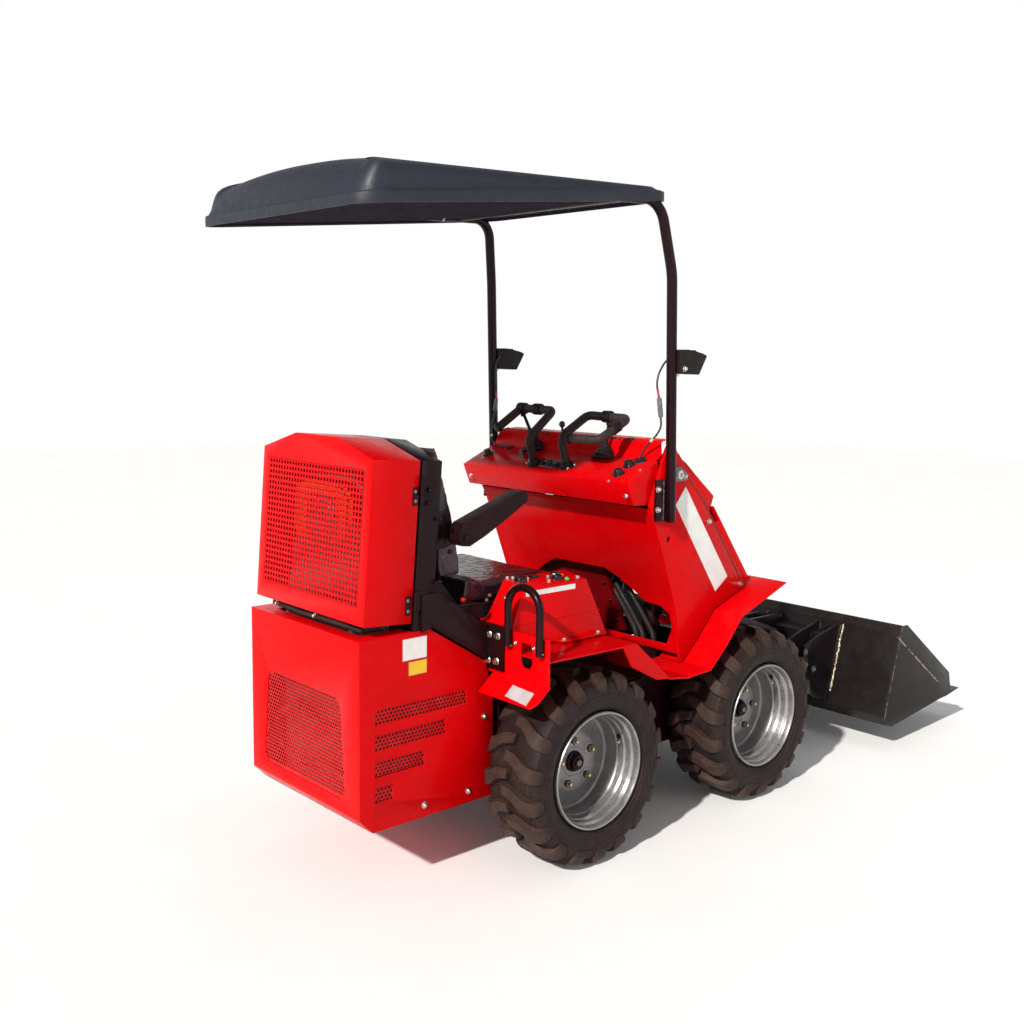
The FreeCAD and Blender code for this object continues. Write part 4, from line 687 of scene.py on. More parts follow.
for node in ("rear_fender_right", "rear_fender_left"):
    refine(node, RED, 1.0, tweak=round_flap)
for node in ("engine_box", "engine_door", "control_box_right",
             "control_box_left", "tower_frame", "console", "tower_top_cover", "front_fender_right",
             "front_fender_left", "boom_yoke", "front_guards"):
    refine(node, RED, 1.2)
for node in ("seat_frame", "chassis_frame", "floor_plate", "boom_arms", "quick_attach", "seat_base"):
    refine(node, BOOMBLACK if node in ("boom_arms", "quick_attach") else BLACK_RED_REFLECT, 1.2)


# ------------------------------------------------------------------ wheels
WHEELS = {"rear_right": (-421.0, 26.0), "rear_left": (421.0, 26.0),
          "front_right": (-421.0, -758.0), "front_left": (421.0, -758.0)}
WHEEL_Z = 285.0

# half section of the carcass, out from the middle: (w, R)
CARCASS = [(0.0, 264.5), (30.0, 264.2), (60.0, 263.0), (82.0, 259.5), (93.0, 253.5), (100.0, 244.0),
           (104.2, 232.0), (105.8, 221.0), (106.0, 216.5), (104.6, 214.8), (104.4, 211.0), (105.0, 209.5),
           (104.0, 202.0), (102.6, 197.0), (101.2, 196.2), (100.6, 193.6), (99.6, 192.4), (97.2, 187.0),
           (95.2, 186.0), (94.4, 183.4), (92.8, 182.4), (90.0, 178.0), (87.0, 175.2), (83.0, 173.0), (74.0, 171.4)]
# top of a bar lug along its length: (w, R, forward edge, back edge) in mm of arc
LUG = [(-9.0, 284.6, 0.0, 27.0), (4.0, 285.0, 1.0, 30.0), (26.0, 284.8, 3.5, 35.5), (44.0, 284.0, 11.0, 47.0),
       (60.0, 282.4, 20.5, 61.5), (74.0, 279.6, 26.0, 69.0), (85.0, 275.6, 29.0, 73.0), (94.0, 269.6, 30.5, 75.0),
       (100.6, 260.6, 31.5, 75.5), (104.4, 249.4, 32.0, 75.0), (106.0, 238.6, 33.5, 73.5), (105.9, 231.0, 36.0, 71.0)]
LUG_BASE = [(-9.0, 262.0), (4.0, 262.0), (26.0, 262.0), (44.0, 261.6), (60.0, 260.6), (74.0, 258.4), (84.0, 255.0),
            (90.0, 250.0), (95.0, 244.4), (98.6, 238.6), (101.0, 231.6), (102.6, 225.6)]
PITCHES = 18


def wheel_point(cx, cy, w, rad, ang):
    return at(cx + w, cy + rad * math.cos(ang), WHEEL_Z + rad * math.sin(ang))


def tyre(tag):
    cx, cy = WHEELS[tag]
    sgn = -1.0 if cx < 0 else 1.0
    b = Buf()
    seg = 96
    rings = []
    prof = [(-w, r_) for w, r_ in reversed(CARCASS[1:])] + CARCASS
    for w, rad in prof:
        rings.append(b.add([wheel_point(cx, cy, sgn * w, rad, 2 * math.pi * k / seg) for k in range(seg)]))
    for a, c in zip(rings, rings[1:]):
        b.loop_sides(a, c, seg)
    inner = b.add([wheel_point(cx, cy, sgn * 60.0, 168.5, 2 * math.pi * k / seg) for k in range(seg)])
    inner2 = b.add([wheel_point(cx, cy, -sgn * 60.0, 168.5, 2 * math.pi * k / seg) for k in range(seg)])
    b.loop_sides(rings[-1], inner, seg)
    b.loop_sides(inner, inner2, seg)
    b.loop_sides(inner2, rings[0], seg)
    carcass = make("tyre_carcass_" + tag, b, [TYRE], "wheel_" + tag, angle=24.0)
    lugs = Buf()
    rnd = random.Random(len(tag) * 7 + int(cx))
    for side in (1, -1):
        for k in range(PITCHES):
            start = 2 * math.pi * (k + (0.5 if side < 0 else 0.0)) / PITCHES
            jit = rnd.uniform(-0.6, 0.6)
            rows = []
            for (w, rt, s0, s1), (wb, rb) in zip(LUG, LUG_BASE):
                wall = 3.4 if rt > 270 else 2.2
                pts = []
                for ww, rr, s in ((wb, rb, s0 - wall), (w, rt, s0 + jit), (w, rt, (s0 + s1) / 2), (w, rt, s1 + jit), (wb, rb, s1 + wall)):
                    lift = 0.0
                    pts.append(wheel_point(cx, cy, sgn * side * ww, rr + lift, start - s / 285.0))
                rows.append(lugs.add(pts))
            for a, c in zip(rows, rows[1:]):
                lugs.loop_sides(a, c, 5, close=False)
            lugs.face([rows[0] + i for i in range(5)])
            lugs.face([rows[-1] + i for i in range(5)])
    lo = make("tyre_lugs_" + tag, lugs, [TYRE_LUG], "wheel_" + tag, bevel=1.1, seg=1, angle=22.0, limit=30.0)
    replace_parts(carcass, "tyre_" + tag)
    # raised band of short ribs on the outer wall, no lettering
    ex = Buf()
    for k in range(12):
        a0 = 2 * math.pi * (k + 0.1) / 12
        for rr in (223.0, 226.0):
            seg_n = 8
            ids = []
            for j in range(seg_n + 1):
                a_ = a0 + math.radians(21) * j / seg_n
                ids.append(ex.add([wheel_point(cx, cy, sgn * 105.2, rr - 0.7, a_), wheel_point(cx, cy, sgn * 106.0, rr - 0.4, a_),
                                   wheel_point(cx, cy, sgn * 106.0, rr + 0.4, a_), wheel_point(cx, cy, sgn * 104.9, rr + 0.7, a_)]))
            for p, q in zip(ids, ids[1:]):
                ex.loop_sides(p, q, 4, close=False)
    make("tyre_wall_ribs_" + tag, ex, [TYRE], "wheel_" + tag)
    return carcass, lo


def rim(tag):
    cx, cy = WHEELS[tag]
    sgn = -1.0 if cx < 0 else 1.0
    out = sgn * 519.0
    phase = {"rear_right": 0.0, "rear_left": 0.6, "front_right": 0.35, "front_left": 1.1}[tag]
    # (|x|, R) from the outer lip round to the disc, closed behind
    prof = [(505.0, 170.8), (511.0, 171.3), (516.5, 171.0), (519.3, 169.4), (519.8, 167.4), (518.4, 165.2), (514.0, 163.6),
            (506.0, 162.6), (500.0, 162.0), (497.0, 160.4), (494.0, 157.6), (491.0, 156.2), (476.0, 155.4), (473.0, 154.2),
            (470.0, 151.4), (467.0, 150.2), (452.0, 149.4), (449.0, 148.4), (446.0, 146.2), (442.0, 145.6), (418.0, 145.0),
            (412.0, 145.2)]
    back = [(352.0, 146.0), (346.0, 152.0), (340.0, 160.0), (326.0, 163.5), (322.0, 168.0), (324.0, 171.0), (336.0, 171.0),
            (344.0, 166.0), (352.0, 156.0), (360.0, 151.0), (410.0, 150.0), (444.0, 151.5), (452.0, 155.5), (468.0, 157.0),
            (476.0, 161.5), (492.0, 163.0), (500.0, 168.5)]
    b = Buf()
    seg = 96
    rings = []
    for ax, rad in prof + back:
        rings.append(b.add([at(sgn * ax, cy + rad * math.cos(2 * math.pi * k / seg), WHEEL_Z + rad * math.sin(2 * math.pi * k / seg))
                            for k in range(seg)]))
    for p, q in zip(rings, rings[1:] + rings[:1]):
        b.loop_sides(p, q, seg)
    barrel_ = make("rim_barrel_" + tag, b, [RIM], "wheel_" + tag, angle=26.0)
    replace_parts(barrel_, "rim_" + tag)
    # pressed disc with hand holes, domed middle
    d = Buf()
    seg = 120
    dprof = [(408.0, 145.6), (402.0, 143.0), (398.5, 138.0), (398.0, 128.0), (401.0, 112.0), (406.5, 98.0), (411.0, 88.0),
             (413.0, 82.0), (413.2, 60.0), (412.0, 46.0), (409.4, 42.0), (409.0, 29.5)]
    rings = []
    for ax, rad in dprof:
        rings.append(d.add([at(sgn * ax, cy + rad * math.cos(2 * math.pi * k / seg), WHEEL_Z + rad * math.sin(2 * math.pi * k / seg))
                            for k in range(seg)]))
    for p, q in zip(rings, rings[1:]):
        d.loop_sides(p, q, seg)
    back_ = [(405.0, 29.5), (405.0, 82.0), (398.0, 98.0), (392.0, 112.0), (390.0, 138.0), (398.0, 145.8)]
    r2 = []
    for ax, rad in back_:
        r2.append(d.add([at(sgn * ax, cy + rad * math.cos(2 * math.pi * k / seg), WHEEL_Z + rad * math.sin(2 * math.pi * k / seg))
                         for k in range(seg)]))
    for p, q in zip([rings[-1]] + r2, r2 + [rings[0]]):
        d.loop_sides(p, q, seg)
    make("rim_disc_" + tag, d, [DISC_SHADE_DARKENED], "wheel_" + tag, angle=26.0)
    # weld stitches between disc and barrel, hub, nuts and studs
    f = Buf()
    for k in range(5):
        a0 = phase + math.radians(11) + 2 * math.pi * k / 5
        f.mat = 0
        for j in range(5):
            a_ = a0 + math.radians(36 + (j - 2) * 2.1)
            c = (sgn * 409.5, cy + 144.6 * math.cos(a_), WHEEL_Z + 144.6 * math.sin(a_))
            f.ball(c, 2.6, 8, 6, (1.3, 1.0, 1.0))
    make("rim_welds_" + tag, f, [WELD], "wheel_" + tag)
    h = Buf()
    h.mat = 0
    h.lathe((sgn * 405.0, cy, WHEEL_Z), (sgn, 0, 0), [(0, 30.5), (10.0, 30.5), (12.0, 29.0), (13.0, 25.5), (18.0, 24.0),
                                                    (24.0, 23.0), (26.6, 21.0), (27.2, 17.0), (24.8, 16.0), (24.4, 10.0)], 40)
    h.mat = 1
    h.bolt((sgn * 428.6, cy, WHEEL_Z), (sgn, 0, 0), 19.0, 8.0, 0.0)
    h.mat = 2
    for k in range(5):
        a_ = phase + math.radians(11) + 2 * math.pi * k / 5
        p = (sgn * 413.0, cy + 66.0 * math.cos(a_), WHEEL_Z + 66.0 * math.sin(a_))
        # cone seat, nut, stud end
        h.lathe(p, (sgn, 0, 0), [(-1.0, 17.0), (1.4, 16.6), (2.2, 14.0)], 20)
        h.mat = 1
        h.bolt((p[0] + sgn * 1.5, p[1], p[2]), (sgn, 0, 0), 21.0, 13.0, 0.0, turn=k * 0.9)
        h.mat = 3
        h.lathe((p[0] + sgn * 12.0, p[1], p[2]), (sgn, 0, 0), [(0, 5.9), (9.6, 5.9), (11.0, 4.6)], 14)
        h.mat = 2
    make("wheel_hub_" + tag, h, [BLACK_RED_REFLECT, DARKNUT, RIM, GOLD], "wheel_" + tag, bevel=0.5, seg=1, angle=40.0)
    # tyre valve in the barrel
    va = Buf()
    a_ = math.radians(157) - phase
    dirv = Vector((sgn * 0.62, -0.78 * math.cos(a_), -0.78 * math.sin(a_)))
    base = Vector((sgn * 462.0, cy + 150.5 * math.cos(a_), WHEEL_Z + 150.5 * math.sin(a_)))
    prev = base
    va.lathe(tuple(base), tuple(dirv), [(-1.5, 8.6), (1.6, 8.2), (3.0, 5.4), (16.0, 4.4), (17.0, 4.0)], 16)
    va.mat = 1
    va.lathe(tuple(base + dirv * 17.0), tuple(dirv), [(-0.5, 2.6), (4.0, 2.6), (4.2, 3.9), (14.0, 3.9), (15.4, 3.0)], 16)
    make("tyre_valve_" + tag, va, [RUBBER, ZINC], "wheel_" + tag, angle=40.0)


for tag in TYRES:
    tyre(tag)
    rim(tag)


# ------------------------------------------------- perforated sheet metal
def punched(put, u0, u1, v0, v1, pu, pv, hole, thick, inside, seg=10, stagger=True, square=False, out=None):
    """Sheet with real holes. put(u, v, t) gives a point in metres; holes whose
    middle is not inside() are left out. Cells tile the sheet, so it is closed."""
    b = out or Buf()
    rows = int(round((v1 - v0) / pv))
    pv = (v1 - v0) / rows
    cols = int(round((u1 - u0) / pu))
    pu = (u1 - u0) / cols
    for j in range(rows):
        vc = v0 + (j + 0.5) * pv
        off = 0.5 if (stagger and j % 2) else 0.0
        edges = [u0 + (i + off) * pu for i in range(cols + 1)]
        if off:
            edges = [u0] + edges[:-1] + [u1]
        for a, c in zip(edges, edges[1:]):
            if c - a < 0.05:
                continue
            uc = (a + c) / 2
            whole = (c - a) > pu * 0.9 and inside(uc, vc)
            cell = [(a, vc - pv / 2), (c, vc - pv / 2), (c, vc + pv / 2), (a, vc + pv / 2)]
            if not whole:
                if inside(uc, vc, True):
                    for t, flip in ((0.0, False), (thick, True)):
                        ids = [b.add([put(u, v, t)]) for u, v in cell]
                        b.face(ids[::-1] if flip else ids)
                continue
            if square:
                hw, hh = hole
                ring_ = [(uc - hw, vc - hh), (uc + hw, vc - hh), (uc + hw, vc + hh), (uc - hw, vc + hh)]
                outer = cell
            else:
                ring_ = [(uc + hole * math.cos(2 * math.pi * (k + 0.5) / seg), vc + hole * math.sin(2 * math.pi * (k + 0.5) / seg)) for k in range(seg)]
                outer = []
                for k in range(seg):
                    du, dv = math.cos(2 * math.pi * (k + 0.5) / seg), math.sin(2 * math.pi * (k + 0.5) / seg)
                    s = min((c - a) / 2 / abs(du) if abs(du) > 1e-9 else 1e9, pv / 2 / abs(dv) if abs(dv) > 1e-9 else 1e9)
                    outer.append((uc + du * s, vc + dv * s))
            n = len(ring_)
            o0 = b.add([put(u, v, 0.0) for u, v in outer])
            i0 = b.add([put(u, v, 0.0) for u, v in ring_])
            o1 = b.add([put(u, v, thick) for u, v in outer])
            i1 = b.add([put(u, v, thick) for u, v in ring_])
            b.loop_sides(o0, i0, n)
            b.loop_sides(i1, o1, n)
            b.loop_sides(i0, i1, n)
            if not square:
                # corners of the cell between two rim points
                for cu, cv in cell:
                    ang = math.atan2(cv - vc, cu - uc)
                    k = int(math.floor((ang / (2 * math.pi) * seg) - 0.5)) % seg
                    k2 = (k + 1) % seg
                    p0 = b.add([put(cu, cv, 0.0)])
                    p1 = b.add([put(cu, cv, thick)])
                    b.face((o0 + k, o0 + k2, p0))
                    b.face((o1 + k2, o1 + k, p1))
    return b


def in_poly(poly):
    def f(u, v, edge=False):
        n = len(poly)
        hit = False
        dmin = 1e9
        for i in range(n):
            (x1, y1), (x2, y2) = poly[i], poly[(i + 1) % n]
            if (y1 > v) != (y2 > v) and u < (x2 - x1) * (v - y1) / (y2 - y1) + x1:
                hit = not hit
            t = max(0.0, min(1.0, ((u - x1) * (x2 - x1) + (v - y1) * (y2 - y1)) / ((x2 - x1) ** 2 + (y2 - y1) ** 2)))
            dmin = min(dmin, math.hypot(u - x1 - t * (x2 - x1), v - y1 - t * (y2 - y1)))
        if edge:
            return hit or dmin < 7.0
        return hit and dmin > 3.2
    return f


# rear window of the lower housing: staggered round holes
WIN = [(-160.0, 549.0), (160.0, 549.0), (176.0, 541.0), (186.0, 524.0), (222.0, 300.0), (219.0, 286.0), (206.0, 275.0),
       (-206.0, 275.0), (-219.0, 286.0), (-222.0, 300.0), (-186.0, 524.0), (-176.0, 541.0)]
HOLES = [(-168.0, 548.5), (168.0, 548.5), (180.0, 541.0), (188.0, 526.0), (208.0, 301.0), (206.0, 288.0), (190.0, 276.0),
         (-190.0, 276.0), (-206.0, 288.0), (-208.0, 301.0), (-188.0, 526.0), (-180.0, 541.0)]


def rear_window(u, v, edge=False):
    if edge:
        return in_poly(WIN)(u, v, True)
    return in_poly(HOLES)(u, v)


g = punched(lambda u, v, t: at(u, 680.0 + t, v), -222.0, 222.0, 274.0, 550.0, 11.6, 10.2, 4.1, 1.4,
            rear_window, 10)
rear_mesh = make("rear_grille_mesh", g, [RED_MESH], "root", angle=40.0)
SLOTS = [(324.0, 635.0, 488.0, 528.0), (398.0, 635.0, 417.0, 457.0), (472.0, 635.0, 349.0, 386.0), (576.0, 635.0, 274.0, 313.0)]
sg = Buf()
for s in (-1, 1):
    for y0, y1, z0, z1 in SLOTS:
        box_ = [(y0, z0), (y1, z0), (y1, z1), (y0, z1)]
        punched(lambda u, v, t, s=s: at(s * (276.0 + t), u, v), y0, y1, z0, z1, 11.8, 9.9, 4.1, 1.4, in_poly(box_), 10, out=sg)
make("side_grille_mesh", sg, [RED_MESH], "root", angle=40.0)
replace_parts(rear_mesh, "engine_box_grilles")


# upper door: straight rows of small square holes
LEAN = math.radians(4.1)


def door(x, d, h):
    """Point of the leaning door: d forward of its rear face, h up; metres."""
    y = -d
    return at(x, 668.0 + y * math.cos(LEAN) - h * math.sin(LEAN), 756.0 + y * math.sin(LEAN) + h * math.cos(LEAN))


dg = punched(lambda u, v, t: door(u, 1.6 - t * 0.9, v), -238.0, 238.0, 49.0, 407.0, 14.9, 15.55, (4.2, 4.6), 1.5,
             lambda u, v, edge=False: True, stagger=False, square=True)
dmesh = make("door_grille_mesh", dg, [RED], "engine_door", angle=40.0)
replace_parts(dmesh, "engine_door_grille")
# ------------------------------------------------ engine housing details
e = Buf()
for s in (-1, 1):
    for y, z in ((259, 437), (316, 231), (472, 230)):
        e.bolt((s * 278.8, y, z), (s, 0, 0), 13.0, 7.5, 1.6, domed=True)
make("housing_bolts", e, [ZINC], "root", angle=36.0)
# blank plates on the side, with a thin coloured border
p = Buf()
for y0, y1, z0, z1, k in ((464, 548, 645, 708, 0), (464, 528, 602, 643, 1)):
    p.mat = 2
    p.block(-279.7, -278.9, y0, y1, z0, z1)
    p.mat = k
    p.block(-280.1, -279.6, y0 + 2.5, y1 - 2.5, z0 + 2.5, z1 - 2.5)
make("housing_blank_plates", p, [LABEL_WHITE, LABEL_YELLOW, LABEL_RED], "root")
# black hinge hardware with two screws to a leaf
h = Buf()
for y0, y1, z0, z1 in ((487, 505, 1063, 1113), (511, 530, 768, 821)):
    for dz_ in (0,):
        h.prism("X", [(y0 + 5, z1), (y1 + 3, z1), (y1 + 6, z0), (y0 + 8, z0)], -277.3, -275.0)
make("door_hinge_leaves", h, [BLACK_RED_REFLECT], "engine_door", bevel=0.5, seg=2)
h = Buf()
for y0, y1, z0, z1 in ((487, 505, 1063, 1113), (511, 530, 768, 821)):
    for zz in (z0 + 12, z1 - 12):
        h.bolt((-277.2, (y0 + y1) / 2 + 6.0, zz), (-1, 0, 0), 7.0, 2.4, 0.6, domed=True)
make("door_leaf_screws", h, [GREYPLATE], "engine_door", angle=36.0)
# engine parts seen through the mesh of the upper door
o = Buf()
SEG = 48
rings = []
for y, f in ((575.0, 1.0), (590.0, 1.0), (596.0, 0.97), (598.0, 0.9), (598.0, 0.72), (594.0, 0.62), (584.0, 0.58), (570.0, 0.56)):
    ring_ = []
    for k in range(SEG):
        a_ = 2 * math.pi * k / SEG
        cx_, cz_ = 45.0 * f + 38.0 * (1 - f), 1012.0
        ca_, sa_ = math.cos(a_), math.sin(a_)
        ring_.append(at(cx_ + 138.0 * f * math.copysign(abs(ca_) ** 0.5, ca_), y,
                        cz_ + 92.0 * f * math.copysign(abs(sa_) ** 0.5, sa_)))
    rings.append(o.add(ring_))
for a, b in zip(rings, rings[1:]):
    o.loop_sides(a, b, SEG)
o.face([rings[0] + k for k in reversed(range(SEG))])
make("engine_fan_shroud", o, [ENGINE_ORANGE], "root", angle=40.0)
c = Buf()
c.lathe((40, 560, 1016), (0, 1, 0), [(0, 84), (20, 84), (24, 80), (25, 40), (31, 38), (33, 20)], 36)
for k in range(12):
    a_ = 2 * math.pi * k / 12
    c.block(40 + 62 * math.cos(a_) - 3, 40 + 62 * math.cos(a_) + 3, 580, 594, 1016 + 60 * math.sin(a_) - 9, 1016 + 60 * math.sin(a_) + 9)
c.block(-150, -70, 540, 600, 900, 960)
c.tube([(126, 598, 912), (128, 600, 880), (124, 598, 800), (100, 590, 778)], 7.0, 14)
c.tube([(-160, 592, 860), (-110, 598, 846), (-66, 590, 856)], 8.0, 14)
c.tube([(-190, 596, 1090), (-150, 600, 1120), (-80, 596, 1128), (60, 592, 1124)], 9.0, 14)
make("engine_top_parts", c, [CAST], "root", bevel=1.2, seg=2, angle=36.0)
w = Buf()
w.tube([(150, 600, 906), (152, 604, 850), (148, 600, 784)], 5.0, 12)
w.block(-146, -120, 596, 604, 838, 848)
w.block(-90, -66, 596, 604, 848, 858)
make("engine_pale_pipe", w, [LABEL_WHITE], "root", bevel=0.8, seg=1)
# hoses and pump in the gap between door and housing
g = Buf()
g.block(-150, 150, 560, 640, 722, 744)
g.tube([(-230, 640, 735), (-120, 652, 742), (60, 650, 738), (220, 640, 740)], 8.0, 12)
g.mat = 1
g.bolt((-20, 655, 742), (0, 1, 0), 10.0, 6.0, 1.0)
g.bolt((190, 650, 742), (0, 1, 0), 10.0, 6.0, 1.0)
make("gap_hoses", g, [RUBBER, ZINC], "root", bevel=1.5, seg=2)

# dark liners inside the housing and door, painted shade for the dark inside, so nothing shines through
li = Buf()
for s in (-1, 1):
    li.block(min(s * 262, s * 265), max(s * 262, s * 265), 318, 640, 262, 540)
li.block(-258, 258, 600, 604, 232, 566)
li.block(-214, 214, 520, 524, 790, 1180)
make("housing_liners", li, [SHADE_DARK], "root", bevel=0.6, seg=1)
rd = Buf()
for x, z in ((-120, 470), (-30, 380), (60, 420), (120, 330), (-90, 300)):
    rd.lathe((x, 606, z), (0, 1, 0), [(0, 20), (16, 20), (18, 16)], 26)
rd.tube([(-200, 640, 500), (-120, 650, 440), (-40, 646, 430), (80, 650, 470), (190, 640, 420)], 11.0, 16)
rd.tube([(-190, 640, 300), (-60, 652, 330), (90, 650, 300), (190, 640, 320)], 9.0, 16)
make("housing_inner_parts", rd, [CAST], "root", angle=40.0)
D_PIN = (-430.0, 1100.0)


# ------------------------------------------------- tower, console, controls
def line_cloth(pts, n):
    """Extra points along a bent line, rounded at the corners."""
    out = []
    for i in range(len(pts) - 1):
        for k in range(n):
            t = k / n
            out.append(tuple(pts[i][j] * (1 - t) + pts[i + 1][j] * t for j in range(3)))
    out.append(tuple(pts[-1]))
    for _ in range(max(2, n // 2)):
        out = [out[0]] + [tuple((out[i - 1][j] + 2 * out[i][j] + out[i + 1][j]) / 4 for j in range(3)) for i in range(1, len(out) - 1)] + [out[-1]]
    return out


def dash(y):
    return 1085.0 + 0.45 * (-203.0 - y)


DN = (0.0, 0.41, 0.912)
t = Buf()
for s in (-1, 1):
    # blank strip on the outside of the tower plate
    t.mat = 0
    t.prism("X", [(-462, 1060), (-688, 746), (-626, 704), (-415, 1005)], s * 400.2 - (0.5 if s < 0 else 0), s * 400.2 + (0.5 if s > 0 else 0))
make("tower_blank_strips", t, [LABEL_WHITE], "root")
t = Buf()
for s in (-1, 1):
    for y, z in ((-582, 939), (-758, 712)):
        t.bolt((s * 400.0, y, z), (s, 0, 0), 13.0, 6.5, 2.0)
    for y, z in ((-435, 1098), (-452, 1094)):
        t.bolt((s * 405.8, y, z), (s, 0, 0), 10.0, 5.0, 1.4)
    # bracket of the roof post
    for y, z in ((-318, 1062), (-319, 999)):
        t.bolt((s * 409.8, y, z), (s, 0, 0), 13.0, 7.0, 2.0)
    for y, z in ((-300, 449), (-377, 437), (-379, 486)):
        t.bolt((s * 512.0, y, z), (s, 0, 0), 11.0, 5.0, 1.6) if False else None
for x in (348, -383):
    t.bolt((x, -203.0, 1047), (0, 1, 0), 10.0, 4.0, 1.4)
for x, y in ((-368, -282), (-307, -207), (340, -252), (352, -300)):
    t.bolt((x, y, dash(y) - 0.5), DN, 8.0, 3.0, 1.2, domed=True)
make("tower_bolts", t, [ZINC], "root", angle=36.0)
# domed ends of the pivots, dark strip along the tower's front edge as painted shade of the gap, closing plates
t = Buf()
for s in (-1, 1):
    t.lathe((s * 405.2, D_PIN[0], D_PIN[1]), (s, 0, 0), [(0, 14.0), (1.6, 14.0), (1.9, 11.0)], 28)
make("pivot_ends", t, [ZINC], "root", angle=36.0)
# dark strip on the tower plate's front edge: painted shade of the gap to the boom
t = Buf()
for s in (-1, 1):
    lo, hi = (-400.4, -399.9) if s < 0 else (399.9, 400.4)
    t.prism("X", [(-470, 1098), (-583, 971.5), (-775, 712), (-773, 709.5), (-580.5, 969), (-468, 1095.5)], lo, hi)
make("tower_edge_seams", t, [SHADE_DARK], "root")
t = Buf()
for s in (-1, 1):
    lo, hi = (-391.0, -388.4) if s < 0 else (388.4, 391.0)
    t.prism("X", [(-345, 1142), (-372, 1190), (-388, 1202), (-414, 1206), (-430, 1160), (-404, 1128)], lo, hi)
make("tower_top_end_plates", t, [RED], "root", bevel=0.6, seg=2)
# sockets, switches, and dark discs as painted shade in the oval slots of the riser
t = Buf()
for x, y, r in ((345, -278, 13), (-310, -248, 14), (-306, -300, 14)):
    t.lathe((x, y, dash(y) - 1.0), DN, [(0, r * 1.5), (3, r * 1.5), (5, r * 1.35), (5.2, r), (15, r * 0.96), (19, r * 0.82), (19.6, r * 0.5)], 28)
t.prism("Z", [(-44, -240), (44, -240), (68, -262), (60, -276), (-22, -288), (-42, -276)], 1100.0, 1100.5) if False else None
for i, (x, y) in enumerate(((-22, -250), (8, -250), (38, -252), (20, -268))):
    t.lathe((x, y, dash(y) + 4.5), DN, [(0, 10), (3, 10), (4.5, 8.4), (5.0, 5.0)], 22)
base = []
for x, y in ((-43, -237), (43, -241), (68, -264), (60, -272), (-25, -283), (-41, -270)):
    base.append((x, y))
lo_i = t.add([at(x, y, dash(y) - 1.0) for x, y in base])
hi_i = t.add([at(x, y, dash(y) + 5.0) for x, y in base])
t.loop_sides(lo_i, hi_i, 6)
t.face([hi_i + i for i in range(6)])
t.face([lo_i + i for i in reversed(range(6))])
make("console_switches", t, [PLASTIC_GLOSS], "root", bevel=1.6, seg=3, angle=34.0)
t = Buf()
for s in (-1, 1):
    for k in range(6):
        x = s * (150 + k * 20.0)
        n = 12
        ring0 = [at(x + 6.5 * math.cos(2 * math.pi * j / n), -389.2 + 0.45 * 3.6 * math.sin(2 * math.pi * j / n), 1200.0 + 3.6 * math.sin(2 * math.pi * j / n)) for j in range(n)]
        ids = t.add(ring0)
        t.face([ids + j for j in range(n)])
# thin dark discs where the riser's slots are: painted shade of the openings
t = Buf()
for s in (-1, 1):
    for k in range(6):
        t.lathe((s * (150 + k * 20.0), -378.8, 1201.8), (0, 0.62, 0.785), [(-0.6, 6.4), (0.35, 6.4), (0.45, 6.0)], 18)
make("riser_slots", t, [SHADE_DARK], "root", angle=40.0)
# rubber boots with rings, at the base of each lever
for tag, x0, rx, ry, y0 in (("right", -168.0, 38.0, 41.0, -328.0), ("left", 138.0, 50.0, 34.0, -302.0)):
    pass


def boot(name, x0, y0, lean, r0, r1, hgt):
    b = Buf()
    prof = []
    n = 7
    for i in range(n * 4 + 1):
        f = i / (n * 4.0)
        r = r0 * (1 - f) ** 1.15 + r1 * f + (4.0 * (1 - f * 0.6) if i % 4 in (1, 2) else 0.0)
        prof.append((hgt * f, r))
    b.lathe((x0, y0, dash(y0) - 3.0), lean, [(0, r0 + 7), (3.4, r0 + 7), (4.6, r0 + 5)] + [(4.6 + h_, r_) for h_, r_ in prof], 40)
    make(name, b, [RUBBER], "root", angle=50.0)


boot("lever_boot_right", -165.0, -334.0, (0.04, -0.10, 0.99), 38.0, 10.0, 46.0)
boot("lever_boot_left", 165.0, -334.0, (0.20, -0.10, 0.97), 38.0, 10.0, 46.0)


def grip_tube(name, pts, r, cap0=True, cap1=True):
    b = Buf()
    b.tube(pts, r, 28)
    make(name, b, [GRIP], "root", angle=60.0)


def arc_path(points, bend, steps=9):
    """Straight runs with rounded corners through the points."""
    pts = [Vector(p) for p in points]
    out = [pts[0]]
    for i in range(1, len(pts) - 1):
        a, b, c = pts[i - 1], pts[i], pts[i + 1]
        u, v = (a - b).normalized(), (c - b).normalized()
        ang = u.angle(v)
        r = bend[i - 1] if isinstance(bend, (list, tuple)) else bend
        d = min(r / math.tan(ang / 2), (a - b).length * 0.49, (c - b).length * 0.49)
        p0, p1 = b + u * d, b + v * d
        r = d * math.tan(ang / 2)
        mid = b + (u + v).normalized() * (r / math.sin(ang / 2))
        x_, y_ = (p0 - mid), (p1 - mid)
        tot = x_.angle(y_)
        for k in range(steps + 1):
            f = k / steps
            q = (x_ * math.sin((1 - f) * tot) + y_ * math.sin(f * tot)) / math.sin(tot)
            out.append(mid + q)
    out.append(pts[-1])
    dense = []
    for a, b in zip(out, out[1:]):
        n = max(1, int((b - a).length / 12.0))
        for k in range(n):
            dense.append(tuple(a.lerp(b, k / n)))
    dense.append(tuple(out[-1]))
    return dense


